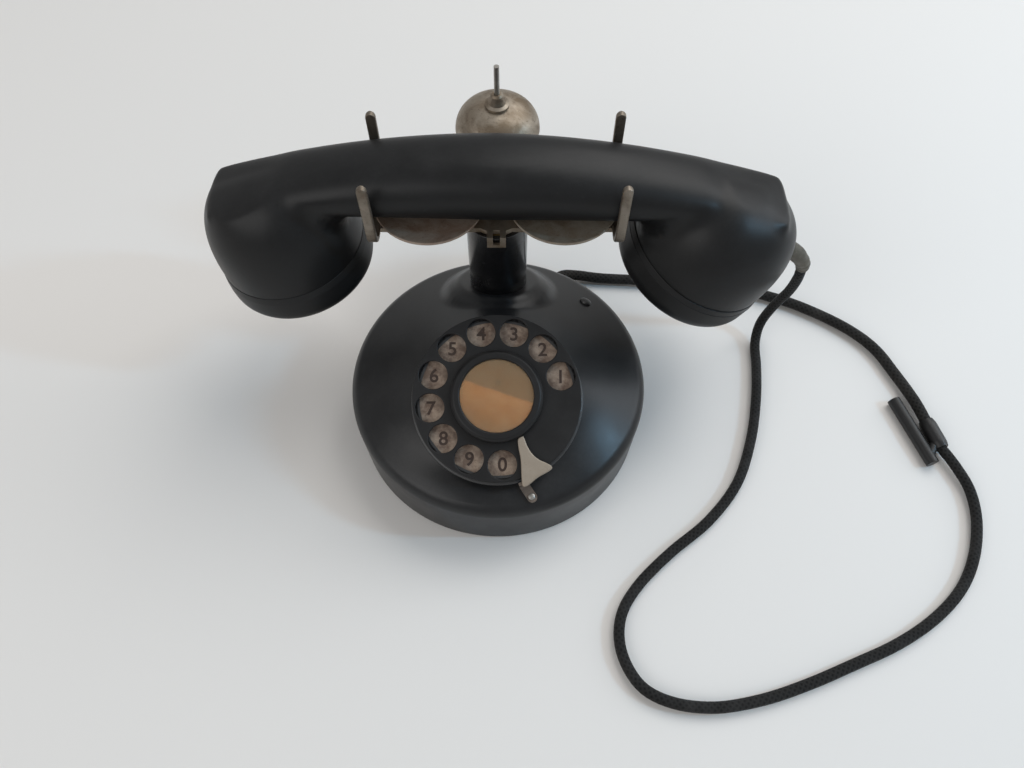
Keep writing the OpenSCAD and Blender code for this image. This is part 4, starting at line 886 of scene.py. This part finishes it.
def handset():
    """Handle and cups in one: grown and shrunk again, which fills the creases between them with fillets."""
    cup1 = cup_mesh("cup1", 33.5, 59.5, EAR, outer=-1, lean=5.0, roll=-3.5, crown=32.0, front=70.0)
    cup2 = cup_mesh("cup2", 35.2, 56, MOUTH, outer=1, lean=-2.5, roll=-3.0, crown=34.0, front=70.0)
    ob = join([handle_mesh(), cup1, cup2], "handset_body")
    remesh(ob, COARSE, CLOSING, 3)
    remesh(ob, COARSE, -CLOSING, 3)
    neck1 = lathe("neck1", [(0, 20), (26.1, 20), (29.7, 16), (29.7, 5.5), (25, 5.3), (0, 5.3)], None, 96, EAR)
    neck2 = lathe("neck2", [(0, 20), (26.1, 20), (29.9, 16), (29.9, 5.5), (25, 5.3), (0, 5.3)], None, 96, MOUTH)
    seat = lathe("seat", rounded([(0, 18), (6.6, 18), (6.6, 32.5), (0, 32.5)], 0.3), None, 48,
                 MOUTH @ Matrix.Translation((0, 0, ELBOW_Z)) @ Matrix.Rotation(rad(90), 4, "Y"))
    ob = join([ob, neck1, neck2, seat], "handset_body")
    remesh(ob, FINE, 0.0, 6)
    ob.data.materials.clear()
    ob.data.materials.append(RUBBER)
    ob.data.polygons.foreach_set("use_smooth", [True] * len(ob.data.polygons))
    put(ob, "handset", "hard_rubber", "handset_handle")


handset()


def edge_arc(r, edge, low, turns):
    """A cap's rounded edge: radius edge, from its face at height low out to radius r."""
    return [(r - edge + edge * math.sin(rad(a)), edge + low - edge * math.cos(rad(a))) for a in turns]


# ear cap, dished towards the hole in its middle
r, neck, edge, dish, hole = 34.6, 29.8, 8.5, 3, 4.0
ear = [(hole, 5.3), (hole, dish), (r - edge - 7, dish * 0.4), (r - edge - 2, -1.0), (r - edge, -2.2)]
ear += edge_arc(r, edge, -2.2, range(10, 91, 8))
ear += rounded([(r, edge + 0.5), (r - 0.35, 13.2), (r - 0.95, 16.8), (r - 1.7, 16.8), (r - 1.7, 13.85),
                (neck + 0.1, 13.85), (neck + 0.1, 5.4)], 0.2)
put(lathe("ear_cap_turned", ear, RUBBER, 144, EAR), "handset", "hard_rubber", "ear_cap")

# mouthpiece, with a rounder rim over the solid
paint(RUBBER, "mouthpiece")
mouth = [(29.4, 0.9), (29.5, -0.8), (30.0, -1.6)] + edge_arc(36, 9, -2, range(22, 91, 4))
mouth += rounded([(36, 7.3), (35.85, 13.2), (35.5, 16.4), (34.6, 16.4), (34.6, 13.85), (30.1, 13.85),
                  (30.1, 5.4)], 0.2)
put(lathe("mouthpiece_rim", mouth, RUBBER, 144, MOUTH), "handset", "hard_rubber")


# rubber elbow from the right-hand cup
def mouth_pt(radial):
    return np.array(MOUTH @ Vector((radial, 0, ELBOW_Z)))


elbow_path = spline([mouth_pt(32.5), mouth_pt(34), mouth_pt(35.5), (132.6, 40.9, 75.8), (136.8, 41, 72.4),
                     (140.6, 41.1, 67.6), np.array(HANDSET_ROUTE[0]) - 2.6 * cord_start, HANDSET_ROUTE[0]], 8)
run = np.linspace(0, 1, len(elbow_path))
elbow_r = np.interp(run, [0, 0.10, 0.2, 0.4, 0.6, 0.8, 1], [5.9, 5.8, 5.0, 4.2, 3.8, 3.4, 3.0])
grooves = 0.18 * (0.5 + 0.5 * np.cos(run * 2 * math.pi * 9)) * (run > 0.62) * (run < 0.97)
elbow = tube("elbow", elbow_path, elbow_r - grooves, BOOT, 32, unit(mouth_pt(1) - mouth_pt(0)), cord_start)
put(elbow, "handset", "boot_rubber", "cord_elbow")

# ---------------------------------------------------------------- small carried-over pieces
paint(STEEL, "base_plate", "stem_nut", "switch_frame", "spring_barrel", "dial_shaft", "pulse_pinion",
      "cradle_spring", "ear_diaphragm")
bevel_node("base_screws", 0.15, STEEL)
bevel_node("dome_screw", 0.15, ENAMEL)
paint(BRASS, "rod_guides", "dial_bush", "gear_plate", "pulse_springs", "switch_springs", "terminal_screws",
      "main_gear", "pulse_cam", "governor", "ear_unit", "mouth_unit")
paint(INSULATION, "terminal_block", "cord_bush")
paint(FELT, "felt_disc")

# ---------------------------------------------------------------- stage and light
floor_mat = bpy.data.materials.new("floor")
floor_mat.use_nodes = True
shader = floor_mat.node_tree.nodes["Principled BSDF"]
shader.inputs["Base Color"].default_value = (0.80, 0.785, 0.765, 1)
shader.inputs["Roughness"].default_value = 0.8
FLOOR_HALF, FLOOR_Z = 3000, -0.4
corners = [(sx * FLOOR_HALF, sy * FLOOR_HALF, FLOOR_Z) for sx, sy in ((-1, -1), (1, -1), (1, 1), (-1, 1))]
make("floor", corners, [(0, 1, 2, 3)], floor_mat)


def area(name, loc, target, size, power, colour):
    """A rectangular light at loc, in metres, that points at the target."""
    d = bpy.data.lights.new(name, "AREA")
    d.shape, d.size, d.size_y, d.energy, d.color = "RECTANGLE", size[0], size[1], power, colour
    o = bpy.data.objects.new(name, d)
    o.location = loc
    o.rotation_euler = (Vector(target) - Vector(loc)).to_track_quat("-Z", "Y").to_euler()
    bpy.context.scene.collection.objects.link(o)


area("key", (0.7, 0.9, 1.5), (0, 0, 0), (1.3, 1.3), 15, (1.0, 0.985, 0.96))
area("window", (1.5, 0.5, 0.75), (0, 0, 0.05), (0.9, 0.9), 6, (0.90, 0.95, 1.0))
area("pane", (0.95, -0.10, 0.735), (0.05, -0.035, 0.037), (0.06, 0.14), 2.6, (0.40, 0.72, 1.0))
area("fill", (-1.1, -0.9, 1.2), (0, 0, 0), (1.3, 1.1), 8, (1.0, 0.985, 0.97))
world = bpy.data.worlds.new("world")
world.use_nodes = True
bpy.context.scene.world = world
nodes, links = world.node_tree.nodes, world.node_tree.links
# the world is white to the camera and through the window, and lights the scene at a lower level
rays = nodes.new("ShaderNodeLightPath")
seen = nodes.new("ShaderNodeMath")
seen.operation = "MAXIMUM"
level = nodes.new("ShaderNodeMapRange")
links.new(rays.outputs["Is Camera Ray"], seen.inputs[0])
links.new(rays.outputs["Is Transmission Ray"], seen.inputs[1])
links.new(seen.outputs[0], level.inputs["Value"])
level.inputs["To Min"].default_value, level.inputs["To Max"].default_value = WORLD_LIGHT, 1.0
links.new(level.outputs["Result"], nodes["Background"].inputs["Strength"])
nodes["Background"].inputs["Color"].default_value = (1, 1, 1, 1)
bpy.context.scene.view_settings.view_transform = "Standard"
